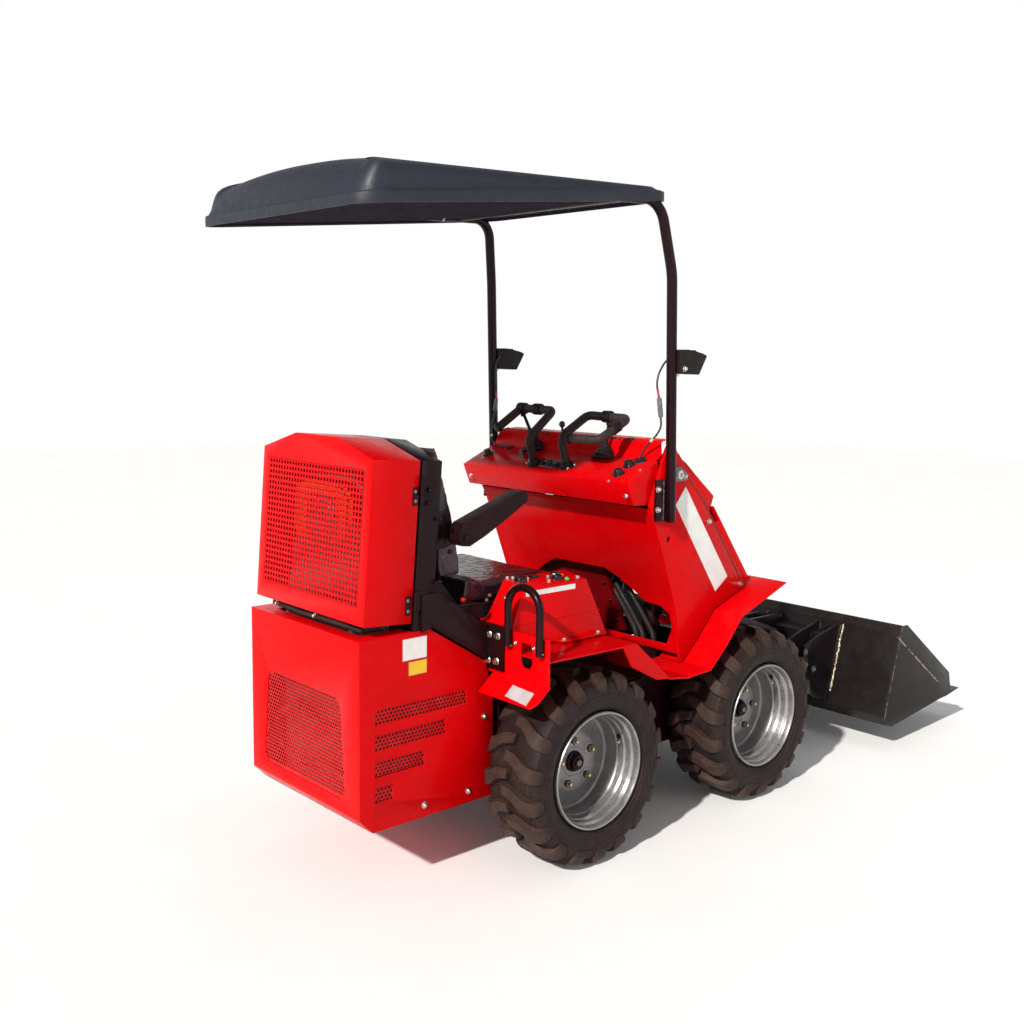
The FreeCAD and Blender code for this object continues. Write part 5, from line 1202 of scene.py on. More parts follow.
lpts = arc_path([(73, -253, 1098), (73, -219, 1192), (73, -332, 1282), (236, -334, 1283), (236, -232, 1221)], [34.0, 20.0, 20.0])
rpts = arc_path([(-75, -258, 1098), (-75, -226, 1206), (-75, -347, 1273), (-253, -347, 1270), (-253, -215, 1206), (-132, -215, 1206)], [34.0, 20.0, 20.0, 20.0])
gb = Buf()
gb.tube(lpts, 14.2, 28)
gb.tube(rpts, 14.2, 28)
loops = make("loop_grips", gb, [GRIP], "root", angle=60.0)
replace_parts(loops, "control_handles")
kb = Buf()
# end knob, base collars and clamps on the loops
e1 = Vector(lpts[-1])
d1 = (Vector(lpts[-1]) - Vector(lpts[-2])).normalized()
kb.lathe(tuple(e1), tuple(d1), [(-2, 15.6), (1, 17.0), (6, 17.0), (10, 14.6), (12, 9.0)], 30)
e2 = Vector(rpts[-1])
d2 = (Vector(rpts[-1]) - Vector(rpts[-2])).normalized()
kb.lathe(tuple(e2), tuple(d2), [(-2, 15.6), (1, 17.0), (6, 17.0), (10, 14.6), (12, 9.0)], 30)
for x, y in ((73, -253), (-75, -258)):
    kb.lathe((x, y, dash(y) - 2.0), DN, [(0, 27), (4, 27), (6, 25), (6.4, 19), (20, 17.4), (22, 15.4)], 32)
for p0, ax in (((228, -334, 1283), (1, 0, 0)), ((150, -333, 1283), (1, 0, 0)), ((-250, -290, 1243), (0, 0.9, -0.42)), ((-165, -347, 1272), (1, 0, 0))):
    kb.lathe(p0, ax, [(-17, 15.2), (-17, 18.4), (-15, 19.6), (15, 19.6), (17, 18.4), (17, 15.2)], 26, caps=False)
clamps = make("loop_clamps", kb, [PLASTIC], "root", bevel=0.8, seg=2, angle=36.0)
jb = Buf()
for x0, tip in ((165.0, (228, -336, 1266)), (-165.0, (-172, -345, 1258))):
    jb.mat = 1
    jb.tube([(x0, -340, 1160), ((x0 + tip[0]) / 2, (-340 + tip[1]) / 2, (1160 + tip[2]) / 2), tip], 5.4, 14)
    jb.mat = 1
    jb.lathe((tip[0], tip[1], tip[2] - 12), (0, 0, 1), [(0, 8.5), (10, 9.5), (12, 9)], 18)
js = make("lever_stems", jb, [ZINC, PLASTIC], "root", angle=40.0)
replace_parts(js, "joysticks")
sb = Buf()
for x, y, lx, lz in ((81, -242, 0, 0), (68, -273, 0, 0), (-77, -238, 0, 0), (-84, -261, 0, 0)):
    sb.bolt((x * 1.25, y, dash(y) + 4.0), DN, 8.0, 4.0, 1.0)
sb.lathe((104, -262, dash(-262) + 2), DN, [(0, 9), (5, 9), (7, 7.5), (7.5, 4)], 20)
sb.bolt((-77, -262, 1214), (0, 1, 0.1), 8.0, 5.0, 1.0)
sb.bolt((-82, -262, 1192), (0, 1, 0.1), 8.0, 5.0, 1.0)
make("lever_base_screws", sb, [ZINC], "root", angle=36.0)
lv = Buf()
lv.tube(arc_path([(162, -341, 1150), (160, -338, 1196), (150, -330, 1222)], 14.0), 4.2, 12)
lv.ball((149, -329, 1226), 9.0, 18, 10, (1.2, 1.0, 0.8))
lv.tube(arc_path([(-48, -262, 1106), (-50, -262, 1180), (-44, -260, 1240)], 30.0), 4.2, 12)
lv.ball((-44, -260, 1244), 10.0, 18, 10, (1.2, 0.8, 1.1))
lv.prism("Y", [(132, 1118), (160, 1124), (158, 1150), (146, 1148)], -262, -256)
make("small_levers", lv, [PLASTIC_GLOSS], "root", bevel=0.6, seg=1, angle=40.0)
ga = Buf()
n = 40
ring_a, ring_b = [], []
for k in range(n):
    a_ = 2 * math.pi * k / n
    x, y = -323 + 26 * math.cos(a_) * 1.0, -330 + 16 * math.sin(a_)
    ring_a.append(at(x, y, dash(y) - 1))
    ring_b.append(at(-323 + 24 * math.cos(a_), -330 + 14 * math.sin(a_), dash(y) + 4))
ia, ib = ga.add(ring_a), ga.add(ring_b)
ga.loop_sides(ia, ib, n)
ga.face([ib + k for k in range(n)])
ga.lathe((288, -330, dash(-330) - 1), DN, [(0, 13), (3, 13), (5, 10)], 26)
make("lead_gaskets", ga, [RUBBER], "root", angle=40.0)


# lamps: ribbed shell, lens, bezel and knob
for tag, s in (("right", -1), ("left", 1)):
    x = s * 422.0
    b = Buf()
    prof = [(-364, 1486), (-400, 1488.5), (-430, 1486), (-450, 1481.5), (-473, 1477), (-490, 1471), (-487.5, 1464), (-455.5, 1413), (-452, 1412), (-366, 1415)]
    b.prism("X", prof, x - 27.0, x + 27.0)
    b2 = Buf()
    for k in range(6):
        y = -372 - k * 12
        b2.block(x - 27.6, x + 27.6, y - 1.6, y + 1.6, 1416, 1487)
    sh_ = make("lamp_shell_" + tag, b, [PLASTIC], "root", bevel=4.0, seg=3, angle=32.0)
    if tag == "right":
        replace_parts(sh_, "work_lights")
    make("lamp_ribs_" + tag, b2, [PLASTIC], "root", bevel=0.8, seg=1)
    ln = Buf()
    nrm = Vector((0, -0.835, -0.55))
    c0 = Vector((x, -472.0, 1440.0))
    up_ = Vector((0, -0.55, 0.835))
    def q(u, v, h):
        p_ = c0 + Vector((u, 0, 0)) + up_ * v + nrm * h
        return at(*p_)
    for (uw, vh, h0, h1, m) in ((24.0, 25.0, -4.0, 0.6, 0), (20.0, 21.0, -2.0, 1.0, 1)):
        ln.mat = m
        ids0 = ln.add([q(-uw, -vh, h0), q(uw, -vh, h0), q(uw, vh, h0), q(-uw, vh, h0)])
        ids1 = ln.add([q(-uw, -vh, h1), q(uw, -vh, h1), q(uw, vh, h1), q(-uw, vh, h1)])
        ln.loop_sides(ids0, ids1, 4)
        ln.face([ids1 + k for k in range(4)])
    make("lamp_lens_" + tag, ln, [PLASTIC, LENS], "root", bevel=0.8, seg=2)
    kn = Buf()
    kn.bolt((x + s * 26.5, -382, 1430), (s, 0, 0), 12.0, 7.0, 1.5)
    kn.lathe((x, -379, 1414), (0, 0, -1), [(0, 7), (6, 7), (8, 6)], 18)
    make("lamp_knob_" + tag, kn, [ZINC], "root", angle=36.0)

# leads: dark cable, orange-red wire part, connector and white tape
LR = [(-396, -372, 1462), (-396, -350, 1448), (-396, -324, 1415), (-396, -316, 1382), (-400, -325, 1340),
      (-404, -330, 1280), (-405, -332, 1254), (-392, -328, 1228), (-366, -329, 1206), (-340, -331, 1182),
      (-324, -330.5, 1156), (-322, -329, 1134)]
LL = [(395, -372, 1462), (393, -353, 1440), (386, -345, 1400), (377, -342, 1350), (373, -339, 1308),
      (379, -337, 1270), (390, -334, 1220), (391, -332, 1180), (377, -330.5, 1153), (346, -330, 1146),
      (312, -330, 1146.5), (288, -330, 1135)]


def lead_curve(points):
    radii = []
    for i in range(1, len(points) - 1):
        a, b, c = Vector(points[i - 1]) - Vector(points[i]), Vector(points[i + 1]) - Vector(points[i]), 0
        turn = math.pi - a.angle(b)
        radii.append(0.45 * min(a.length, b.length) / math.tan(turn / 2))
    return arc_path(points, radii, 6)


for tag, pts_, zones in (("right", LR, ((1344, 1372, 1), (1203, 1216, 2))), ("left", LL, ((1312, 1340, 1), (1240, 1253, 2), (1174, 1186, 2)))):
    path = lead_curve(pts_)
    b = Buf()
    b.tube(path, 3.0, 14)
    for z0, z1, m in zones:
        seg_pts = [p_ for p_ in path if z0 <= p_[2] <= z1]
        if len(seg_pts) > 1:
            b.mat = m
            b.tube(seg_pts, 3.5 if m == 1 else 4.3, 14)
    b.mat = 3
    a0, a1 = ((-399.8, -324.8, 1342), (-404, -330, 1282)) if tag == "right" else ((373.6, -339, 1312), (379.4, -336.6, 1268))
    v = Vector(a1) - Vector(a0)
    L = v.length
    rr = 8.0 if tag == "right" else 7.0
    b.lathe(a0, tuple(v), [(0, rr * 0.6), (1.5, rr * 0.9), (L * 0.45, rr), (L * 0.46, rr * 0.82), (L * 0.5, rr * 0.82), (L * 0.51, rr), (L - 2, rr * 0.92), (L, rr * 0.6)], 18)
    ob = make("lamp_cable_" + tag, b, [WIRE, REDPLASTIC, TAPE, GREYPLATE], "root", angle=50.0)
    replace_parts(ob, "lamp_lead_" + tag)

# post bracket weld specks
wl = Buf()
rnd = random.Random(5)
for s in (-1, 1):
    for k in range(26):
        zz = 968 + k * 4.7
        wl.ball((s * (410.0), -346 + rnd.uniform(-1.0, 1.0), zz), 2.0 + rnd.uniform(-0.4, 0.6), 8, 5, (0.6, 1, 1))
make("post_bracket_welds", wl, [WELD], "root", angle=60.0)

# hoses, valve and cylinders behind the tower window
ho = Buf()
ho.mat = 0
for x in (18, -24):
    ho.lathe((x, -560, 560), (0, 0, 1), [(0, 24), (70, 24), (74, 20), (120, 20), (126, 12), (150, 11)], 26)
ho.mat = 1
# kept behind the lift cylinders, clear of their swing
for dx, dy in ((0, 0), (34, 14), (70, 6)):
    ho.tube(arc_path([(-282 + dx, -475 + dy, 470), (-262 + dx, -481 + dy, 560), (-196 + dx, -495 + dy, 620), (-120 + dx, -499 + dy, 700)], 60.0), 9.5, 16)
    ho.tube(arc_path([(282 - dx, -475 + dy, 470), (262 - dx, -481 + dy, 560), (196 - dx, -495 + dy, 620), (120 - dx, -499 + dy, 700)], 60.0), 9.5, 16)
ho.mat = 2
ho.block(-262, -224, -566, -552, 580, 606)
ho.mat = 3
ho.block(-70, 70, -600, -520, 500, 566)
make("tower_hydraulics", ho, [BLACK_RED_REFLECT, RUBBER, RED, BLACK_RED_REFLECT], "root", bevel=1.0, seg=2, angle=36.0)

# dark cross plates at the front of the chassis
fp = Buf()
for s in (-1, 1):
    x0, x1 = sorted((s * 46, s * 156))
    fp.block(x0, x1, -956, -950, 338, 450)
    fp.block(x0, x1, -950, -930, 444, 450)
make("chassis_front_plates", fp, [BLACK_RED_REFLECT], "root", bevel=1.2, seg=2)

# inner plate behind the left part of the tower window, painted dark red as painted shade
SHADE_RED = paint("dark_red_painted_shade", (0.115, 0.0012, 0.0022, 1), (0.090, 0.0010, 0.0018, 1), (0.15, 0.02, 0.018, 1),
                  rough=0.5, coat=0.0, dusty=0.1, spec=0.05)


def inner_y(z):
    return (-424 + (z - 704) * 0.3795 if z > 704 else -424 - (704 - z) * 0.1848) - 36.0


ip = Buf()
zs = [540, 600, 660, 704, 740, 800]
rows_ = []
for z in zs:
    xe = -66.0 + (z - 721.0) * 0.3087
    y = inner_y(z)
    rows_.append(ip.add([at(xe, y, z), at(388, y, z), at(388, y - 3, z), at(xe + 3, y - 3, z), at(xe + 3, y - 22, z), at(xe, y - 22, z)]))
for p, q in zip(rows_, rows_[1:]):
    ip.loop_sides(p, q, 6)
ip.face([rows_[0] + k for k in reversed(range(6))])
ip.face([rows_[-1] + k for k in range(6)])
make("tower_inner_plate", ip, [SHADE_RED], "root", bevel=0.6, seg=2)
ib_ = Buf()
for z in (575, 640, 700, 760):
    xe = -66.0 + (z - 721.0) * 0.3087
    ib_.bolt((xe + 16, inner_y(z) + 0.2, z), (0, 1, 0), 10.0, 4.0, 1.2, domed=True)
make("tower_inner_bolts", ib_, [BLACK_RED_REFLECT], "root", angle=36.0)
# ---------------------------------------------------------------- seat
from mathutils import noise


def soft(node, shrink, cap, mat, voxel=7.0, pressure=4.0, crumple=1.4):
    """Swollen pad grown from the node's shape, wrapped in a crumpled film."""
    src = bpy.data.objects[node]
    me = src.data.copy()
    ob = bpy.data.objects.new(node + "_pad", me)
    bpy.context.scene.collection.objects.link(ob)
    ob.matrix_world = src.matrix_world.copy()
    me.materials.clear()
    me.materials.append(mat)
    bm = bmesh.new()
    bm.from_mesh(me)
    for f in bm.faces:
        f.material_index = 0
    bmesh.ops.remove_doubles(bm, verts=bm.verts, dist=1e-5)
    bm.to_mesh(me)
    bm.free()
    rm = ob.modifiers.new("voxels", "REMESH")
    rm.mode = "VOXEL"
    rm.voxel_size = voxel / 1000.0
    bake(ob)
    me = ob.data
    bm = bmesh.new()
    bm.from_mesh(me)
    for _ in range(5):
        bmesh.ops.smooth_vert(bm, verts=bm.verts, factor=0.5, use_axis_x=True, use_axis_y=True, use_axis_z=True)
    bm.normal_update()
    for v in bm.verts:
        v.co -= v.normal * (shrink / 1000.0)
    bm.to_mesh(me)
    bm.free()
    start = [v.co.copy() for v in me.vertices]
    cl = ob.modifiers.new("cloth", "CLOTH")
    st = cl.settings
    st.quality = 5
    st.mass = 0.3
    st.tension_stiffness = 12.0
    st.compression_stiffness = 12.0
    st.shear_stiffness = 5.0
    st.bending_stiffness = 0.4
    st.use_pressure = True
    st.uniform_pressure_force = pressure
    st.effector_weights.gravity = 0.0
    scn = bpy.context.scene
    for f in range(1, 21):
        scn.frame_set(f)
    dg_ = bpy.context.evaluated_depsgraph_get()
    ev = ob.evaluated_get(dg_).to_mesh()
    moved = [v.co.copy() for v in ev.vertices]
    ob.evaluated_get(dg_).to_mesh_clear()
    ob.modifiers.clear()
    scn.frame_set(1)
    for v, a, b in zip(me.vertices, start, moved):
        d = b - a
        if d.length > cap / 1000.0:
            d = d.normalized() * (cap / 1000.0)
        v.co = a + d
    sd = ob.modifiers.new("fine", "SUBSURF")
    sd.levels = sd.render_levels = 1
    bake(ob)
    me = ob.data
    bm = bmesh.new()
    bm.from_mesh(me)
    bm.normal_update()
    for v in bm.verts:
        q_ = v.co * 24.0
        r1 = abs(noise.noise(Vector((q_.x * 1.0, q_.y * 1.4, q_.z)) + Vector((3.1, 7.7, 1.3)), noise_basis="PERLIN_ORIGINAL"))
        r2 = abs(noise.noise(q_ * 2.3 + Vector((11.0, 2.0, 5.0)), noise_basis="PERLIN_ORIGINAL"))
        fold = max(0.0, 0.22 - r1) * 3.0 + max(0.0, 0.16 - r2) * 1.6
        v.co += v.normal * ((fold - 0.35) * crumple / 1000.0)
    for f in bm.faces:
        f.smooth = True
    bm.to_mesh(me)
    bm.free()
    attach(ob, "root")
    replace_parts(ob, node)
    return ob


soft("seat_cushion", 5.5, 7.0, VINYL, crumple=1.7)
soft("seat_back", 5.0, 6.5, VINYL, crumple=1.3)

# armrests: padded top edge, pivot bolt
for side_, s in (("right", -1), ("left", 1)):
    refine("armrest_" + side_, ARM, 9.0, seg=5, angle=60.0, limit=26.0)
    ab = Buf()
    ab.bolt((s * 306.2, 352, 966), (s, 0, 0), 17.0, 7.0, 2.0)
    make("armrest_bolt_" + side_, ab, [BLACK_RED_REFLECT], "armrest_" + side_, angle=36.0)
# frame hardware on the outside of the seat frame and the skirt plates
sb = Buf()
for s in (-1, 1):
    for y, z in ((360, 988), (393, 929), (404, 957), (424, 1022), (426, 849), (460, 1102), (462, 1069)):
        sb.mat = 1
        sb.bolt((s * 285.6, y, z), (s, 0, 0), 10.0, 5.0, 1.6, domed=(y > 420))
        sb.mat = 0
    for x, z in ((284, 676), (321, 677), (279, 600), (316, 603)):
        sb.bolt((s * x, 246.0, z), (0, 1, 0), 15.0, 8.5, 2.4)
    # red pull knob and its bolts beside the cushion
make("seat_frame_bolts", sb, [ZINC, BLACK_RED_REFLECT], "root", angle=36.0)
kn = Buf()
kn.lathe((-243, 308, 770), (0, 0.35, 0.93), [(0, 4), (3, 4), (4, 6.5), (9, 7), (12, 5.4), (13, 2.4)], 24)
make("seat_knob", kn, [REDPLASTIC], "root", angle=40.0)
kb2 = Buf()
kb2.bolt((-241, 209, 776), (-1, 0, 0), 9.0, 5.0, 1.2)
kb2.bolt((-241, 221, 764), (-1, 0, 0), 8.0, 4.0, 1.2)
make("seat_knob_bolts", kb2, [GOLD], "root", angle=36.0)
lv2 = Buf()
lv2.tube([(-268, 366, 766), (-280, 330, 772), (-284, 300, 770), (-280, 280, 766)], 6.0, 14)
make("seat_slide_lever", lv2, [BLACK_RED_REFLECT], "root", angle=50.0)
wl2 = Buf()
rnd = random.Random(9)
for s in (-1, 1):
    for k in range(30):
        wl2.ball((s * 256 + rnd.uniform(-0.8, 0.8), 246.0, 592 + k * 3.6), 1.8 + rnd.uniform(-0.3, 0.6), 8, 5, (1, 0.7, 1))
make("plate_weld_beads", wl2, [WELD], "root", angle=60.0)
# ------------------------------------- control boxes, fenders, handles
cb = Buf()
for x, y, z in ((-279, 176, 825.5), (-284, 160, 824.5), (-314, 49, 819), (-343, 74, 814), (-348, -38, 813),
                (279, 176, 825.5), (348, 160, 813), (348, -38, 813), (284, -30, 824.5)):
    cb.bolt((x, y, z), (0, 0, 1), 10.0, 5.5, 1.6)
for s in (-1, 1):
    cb.bolt((s * 305, 206, 778), (0, 0.93, 0.37), 9.0, 3.5, 1.2, domed=True)
    for y in (48, -93):
        cb.bolt((s * 383, y, 644.5), (0, 0, 1), 11.0, 6.0, 1.8)
cb.lathe((-319, 134, 815), (0, 0, 1), [(0, 6), (2, 6), (2.5, 3.4), (16, 3.4), (17, 2.6)], 16)
make("control_box_bolts", cb, [ZINC], "root", angle=36.0)
ga2 = Buf()
TOPN = (-0.17, 0.0, 0.985)
for x, y, z, r in ((-303, 147, 820, 20.0), (-329, 28, 816, 16.0)):
    ga2.mat = 0
    ga2.lathe((x, y, z - 1), TOPN, [(0, r + 2), (3, r + 2), (4, r), (11, r), (13, r - 1), (13.2, r - 3), (11.6, r - 3.4)], 36)
    ga2.mat = 1
    ga2.lathe((x, y, z + 10.2), TOPN, [(0, r - 3.6), (0.8, r - 3.6)], 32)
ga2.mat = 2
ga2.lathe((-322, 33, 828), TOPN, [(0, 5), (2.0, 5)], 16)
ga2.mat = 0
for x, y, z in ((-324, 5, 817), (-351, 8, 812)):
    ga2.lathe((x, y, z - 1), TOPN, [(0, 9), (2.4, 9), (3, 8)], 24)
# rocker switch pair beside the gauges
ga2.block(-306, -288, 78, 104, 818, 829)
ga2.block(-306, -288, -8, 18, 818, 829)
make("control_box_gauges", ga2, [PLASTIC_GLOSS, PLASTIC_GLOSS, LABEL_WHITE], "root", bevel=0.8, seg=2, angle=36.0)
lamps_ = Buf()
lamps_.lathe((-324, 5, 819), TOPN, [(0, 7), (3, 7), (6, 5.6), (8, 2.5)], 22)
make("pilot_lamp_orange", lamps_, [ORANGE_LENS], "root", angle=50.0)
lamps_ = Buf()
lamps_.lathe((-351, 8, 814), TOPN, [(0, 7), (3, 7), (6, 5.6), (8, 2.5)], 22)
make("pilot_lamp_green", lamps_, [GREEN_LENS], "root", angle=50.0)
lb = Buf()
lb.prism("X", [(183, 802), (-12, 802), (-13, 787), (182, 788)], -366.7, -366.1)
make("control_box_blank_strip", lb, [LABEL_WHITE], "root")
em = Buf()
for s in (-1, 1):
    em.block(min(s * 366.0, s * 366.9), max(s * 366.0, s * 366.9), -118, 224, 708.6, 710.8)
make("control_box_fold_line", em, [RED], "root", bevel=0.3, seg=1)
# grab handles: round tube ends and weld rings
refine("grab_handles", BLACK_RED_REFLECT, 0.0, angle=60.0)
gh = Buf()
rnd = random.Random(21)
for s in (-1, 1):
    for x in (370, 500):
        for k in range(14):
            a_ = 2 * math.pi * k / 14
            gh.ball((s * x + 11.5 * math.cos(a_), 250 + 2.0 * math.sin(a_), 662 + rnd.uniform(-1, 1)), 2.2, 8, 5)
make("handle_weld_rings", gh, [WELD], "root", angle=60.0)
# screws on the skirt plate and the blank sticker of the flap
sk = Buf()
for s in (-1, 1):
    for x, z in ((388, 670), (463, 669)):
        sk.bolt((s * x, 241.0, z - 1), (0, 1, 0), 9.0, 4.0, 1.4, domed=True)
make("skirt_screws", sk, [ZINC], "root", angle=36.0)
st = Buf()
quad = [(-403, 261, 556), (-494, 265, 553), (-497, 297, 526), (-404, 291, 531)]
nn = Vector((0, 52.0, 62.0)).normalized()


def on_flap(x, y):
    return at(x, y, 574.0 - (y - 240.0) * 52.0 / 62.0)


up0 = [on_flap(x, y) - nn * 0.0002 for x, y, z in quad]
up1 = [on_flap(x, y) + nn * 0.0006 for x, y, z in quad]
ia, ib = st.add(up0), st.add(up1)
st.loop_sides(ia, ib, 4)
st.face([ib + k for k in range(4)])
st.face([ia + k for k in (3, 2, 1, 0)])
LABEL_GREY = plastic("blank_grey_label", (0.46, 0.45, 0.45, 1), (0.36, 0.34, 0.35, 1), 0.4, 400.0, 0.05)
make("flap_blank_sticker", st, [LABEL_GREY], "root")
# --------------------------------------------------------------- canopy
C_W, C_RY, C_FY = 424.0, 765.0, -345.0


def can_lip(y):
    f = (C_RY - y) / (C_RY - C_FY)
    return 1815.0 * (1 - f) + 1928.0 * f


def can_roof(x, y):
    f = (800.0 - y) / 1180.0
    e_, m_ = 1926.0 * (1 - f) + 1970.0 * f, 1955.0 * (1 - f) + 1987.0 * f
    k = min(1.0, abs(x) / 379.0)
    return min(1983.6, e_ + 2 + (m_ - e_ - 2) * (1 - k * k))


def can_outline(n_corner=18, n_side=26, n_end=22):
    """Points and outward normals of the plan outline, without inset."""
    out = []
    rr, rf = 80.0, 76.0
    corners_ = ((C_W - rf, C_FY + rf, rf, -90), (C_W - rr, C_RY - rr, rr, 0),
                (-C_W + rr, C_RY - rr, rr, 90), (-C_W + rf, C_FY + rf, rf, 180))
    for i, (cx, cy, r, a0) in enumerate(corners_):
        for k in range(n_corner + 1):
            t_ = math.radians(a0 + 90.0 * k / n_corner)
            out.append((cx + r * math.cos(t_), cy + r * math.sin(t_), math.cos(t_), math.sin(t_)))
        nx, ny, nr, na = corners_[(i + 1) % 4]
        t1 = math.radians(na)
        p1 = (nx + nr * math.cos(t1), ny + nr * math.sin(t1))
        p0 = out[-1]
        m = n_side if i % 2 == 0 else n_end
        for k in range(1, m):
            f = k / m
            out.append((p0[0] * (1 - f) + p1[0] * f, p0[1] * (1 - f) + p1[1] * f, p0[2], p0[3]))
    return out


SIDE_P = [(1, 60), (3, 34), (6, 19), (12, 9), (22, 3), (38, 0)]
REAR_P = [(10, 70), (17, 54), (27, 36), (42, 20), (64, 8), (98, 0)]
FRONT_P = [(3, 52), (6, 36), (13, 23), (24, 13), (42, 5), (70, 0)]


def can_rings(b, off, drop, inner):
    """Rings of one skin, from the lip's lower edge up to the middle."""
    base = can_outline()
    rings = []
    lip = ([(0, 0), (0, 3), (0, 25), (1.2, 28.2), (4, 29.6), (8.2, 30.0), (9, 31.5)] if not inner
           else [(6, 0), (6, 18), (9, 22), (15, 24)])
    for d, h in lip:
        rings.append([at(x - nx * d, y - ny * d, can_lip(y - ny * d) + h) for x, y, nx, ny in base])
    for j in range(6):
        row = []
        for x, y, nx, ny in base:
            wr, wf = max(0.0, ny) ** 2, max(0.0, -ny) ** 2
            ws = max(0.0, 1 - wr - wf)
            o = SIDE_P[j][0] * ws + REAR_P[j][0] * wr + FRONT_P[j][0] * wf
            dz = SIDE_P[j][1] * ws + REAR_P[j][1] * wr + FRONT_P[j][1] * wf
            d = 9.0 + o + off
            px_, py_ = x - nx * d, y - ny * d
            z = can_roof(px_, py_) - dz - drop
            z = max(z, can_lip(py_) + (32.5 if not inner else 25.0) + j * 0.4)
            row.append(at(px_, py_, z))
        rings.append(row)
    last = []
    for x, y, nx, ny in base:
        wr, wf = max(0.0, ny) ** 2, max(0.0, -ny) ** 2
        ws = max(0.0, 1 - wr - wf)
        d = 9.0 + off + SIDE_P[5][0] * ws + REAR_P[5][0] * wr + FRONT_P[5][0] * wf
        last.append((x - nx * d, y - ny * d))
    for k in range(1, 13):
        f = k / 12.0
        row = []
        for px_, py_ in last:
            ty = min(max(py_, -120.0), 540.0)
            qx, qy = px_ * (1 - f), py_ * (1 - f) + ty * f
            row.append(at(qx, qy, can_roof(qx, qy) - drop))
        rings.append(row)
    ids = [b.add(r) for r in rings]
    n = len(base)
    for p, q in zip(ids, ids[1:]):
        if inner:
            b.loop_sides(q, p, n)
        else:
            b.loop_sides(p, q, n)
    return ids[0], n


cbuf = Buf()
o0, cn = can_rings(cbuf, 0.0, 0.0, False)
i0, _n = can_rings(cbuf, 6.0, 6.0, True)
cbuf.loop_sides(i0, o0, cn)
canopy = make("canopy_shell", cbuf, [CANOPY], "root", angle=42.0)
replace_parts(canopy, "canopy_roof")
refine("canopy_frame", BLACK_RED_REFLECT, 0.6, seg=1, angle=50.0)
cl_ = Buf()
cl_.tube([(300, -60, 1922), (306, -50, 1906), (322, -55, 1900), (334, -66, 1908), (330, -72, 1922)], 2.2, 10)
make("roof_clip", cl_, [ZINC], "root", angle=60.0)
# inner lining, let into the lip a little above its lower edge
LINING = plastic("roof_lining", (0.0110, 0.0085, 0.0150, 1), (0.0180, 0.0125, 0.0220, 1), 0.9, 120.0, 0.1, spec=0.02)
ln = Buf()
outl = can_outline()


def lining_rows(up):
    rows_ = []
    for d, h in ((6.6, 5.0), (12.0, 4.4), (13.0, 8.0)):
        rows_.append([at(x - nx * d, y - ny * d, can_lip(y - ny * d) + h + up) for x, y, nx, ny in outl])
    for k in range(1, 9):
        f = k / 9.0
        row = []
        for x, y, nx, ny in outl:
            px_, py_ = x - nx * 13.0, y - ny * 13.0
            ty = min(max(py_, -160.0), 580.0)
            qx, qy = px_ * (1 - f), py_ * (1 - f) + ty * f
            sag = 1.2 * math.sin(qx * 0.011 + 0.4) * math.sin(qy * 0.009)
            row.append(at(qx, qy, can_lip(qy) + 8.0 + sag + up))
        rows_.append(row)
    return [ln.add(r) for r in rows_]


lo_, hi_ = lining_rows(0.0), lining_rows(2.0)
cnt = len(outl)
for p, q in zip(lo_, lo_[1:]):
    ln.loop_sides(q, p, cnt)
for p, q in zip(hi_, hi_[1:]):
    ln.loop_sides(p, q, cnt)
ln.loop_sides(lo_[0], hi_[0], cnt)
ln.face([lo_[-1] + k for k in reversed(range(cnt))])
ln.face([hi_[-1] + k for k in range(cnt)])
make("canopy_lining", ln, [LINING], "root", angle=42.0)
# --------------------------------------------------------- boom, bucket
for node in ("lift_cylinder_barrels", "tilt_cylinder_barrel", "wheel_motors"):
    refine(node, BLACK_RED_REFLECT, 0.8, seg=2, angle=40.0)
refine("boom_pivot_pins", GREYPLATE, 0.6, seg=2, angle=36.0)
for node in ("lift_cylinder_rods", "tilt_cylinder_rod", "cylinder_base_pins", "tilt_cylinder_pin"):
    refine(node, CHROME if "rod" in node else ZINC, 0.5, seg=1, angle=40.0)
refine("bucket", BUCKET, 1.0, seg=2, angle=36.0)


from mathutils.bvhtree import BVHTree


def tree_of(name):
    o = bpy.data.objects[name]
    return BVHTree.FromPolygons([o.matrix_world @ v.co for v in o.data.vertices], [tuple(p.vertices) for p in o.data.polygons])


BUCKET_TREE = tree_of("bucket")


def rear_face(x, z):
    """Depth of the bucket's back at this place, seen from behind."""
    hit = BUCKET_TREE.ray_cast(at(x, -1100.0, z), Vector((0, -1, 0)))
    return -1e9 if hit[0] is None else hit[0].y * 1000.0 - SHIFT


PALEWELD = metal("bright_weld_bead", (0.72, 0.64, 0.52, 1), (0.45, 0.38, 0.30, 1), (0.25, 0.45), scale=260.0, metallic=0.75, rust=0.15)
bb = Buf()
rnd = random.Random(77)
for s in (-1, 1):
    z = 437.0
    while z > 183.0:
        bb.mat = 0 if rnd.random() < 0.7 else 1
        r = rnd.uniform(2.2, 5.0)
        px_ = s * 313.0 + rnd.uniform(-2.4, 2.4)
        py_ = rear_face(px_, z)
        if py_ > -1800.0:
            bb.ball((px_, py_ + 1.2, z), r, 8, 6, (1.0, 0.6, 1.2))
        z -= rnd.uniform(2.4, 4.4)
for x0 in (24, -24):
    z = 436.0
    while z > 394.0:
        bb.mat = 1 if rnd.random() < 0.5 else 0
        px_ = x0 + rnd.uniform(-1.4, 1.4)
        py_ = rear_face(px_, z)
        if py_ > -1800.0:
            bb.ball((px_, py_ + 1.2, z), rnd.uniform(1.4, 2.6), 8, 6, (1.0, 0.6, 1.2))
        z -= rnd.uniform(2.2, 4.0)
make("bucket_weld_beads", bb, [PALEWELD, GOLD], "bucket", angle=60.0)
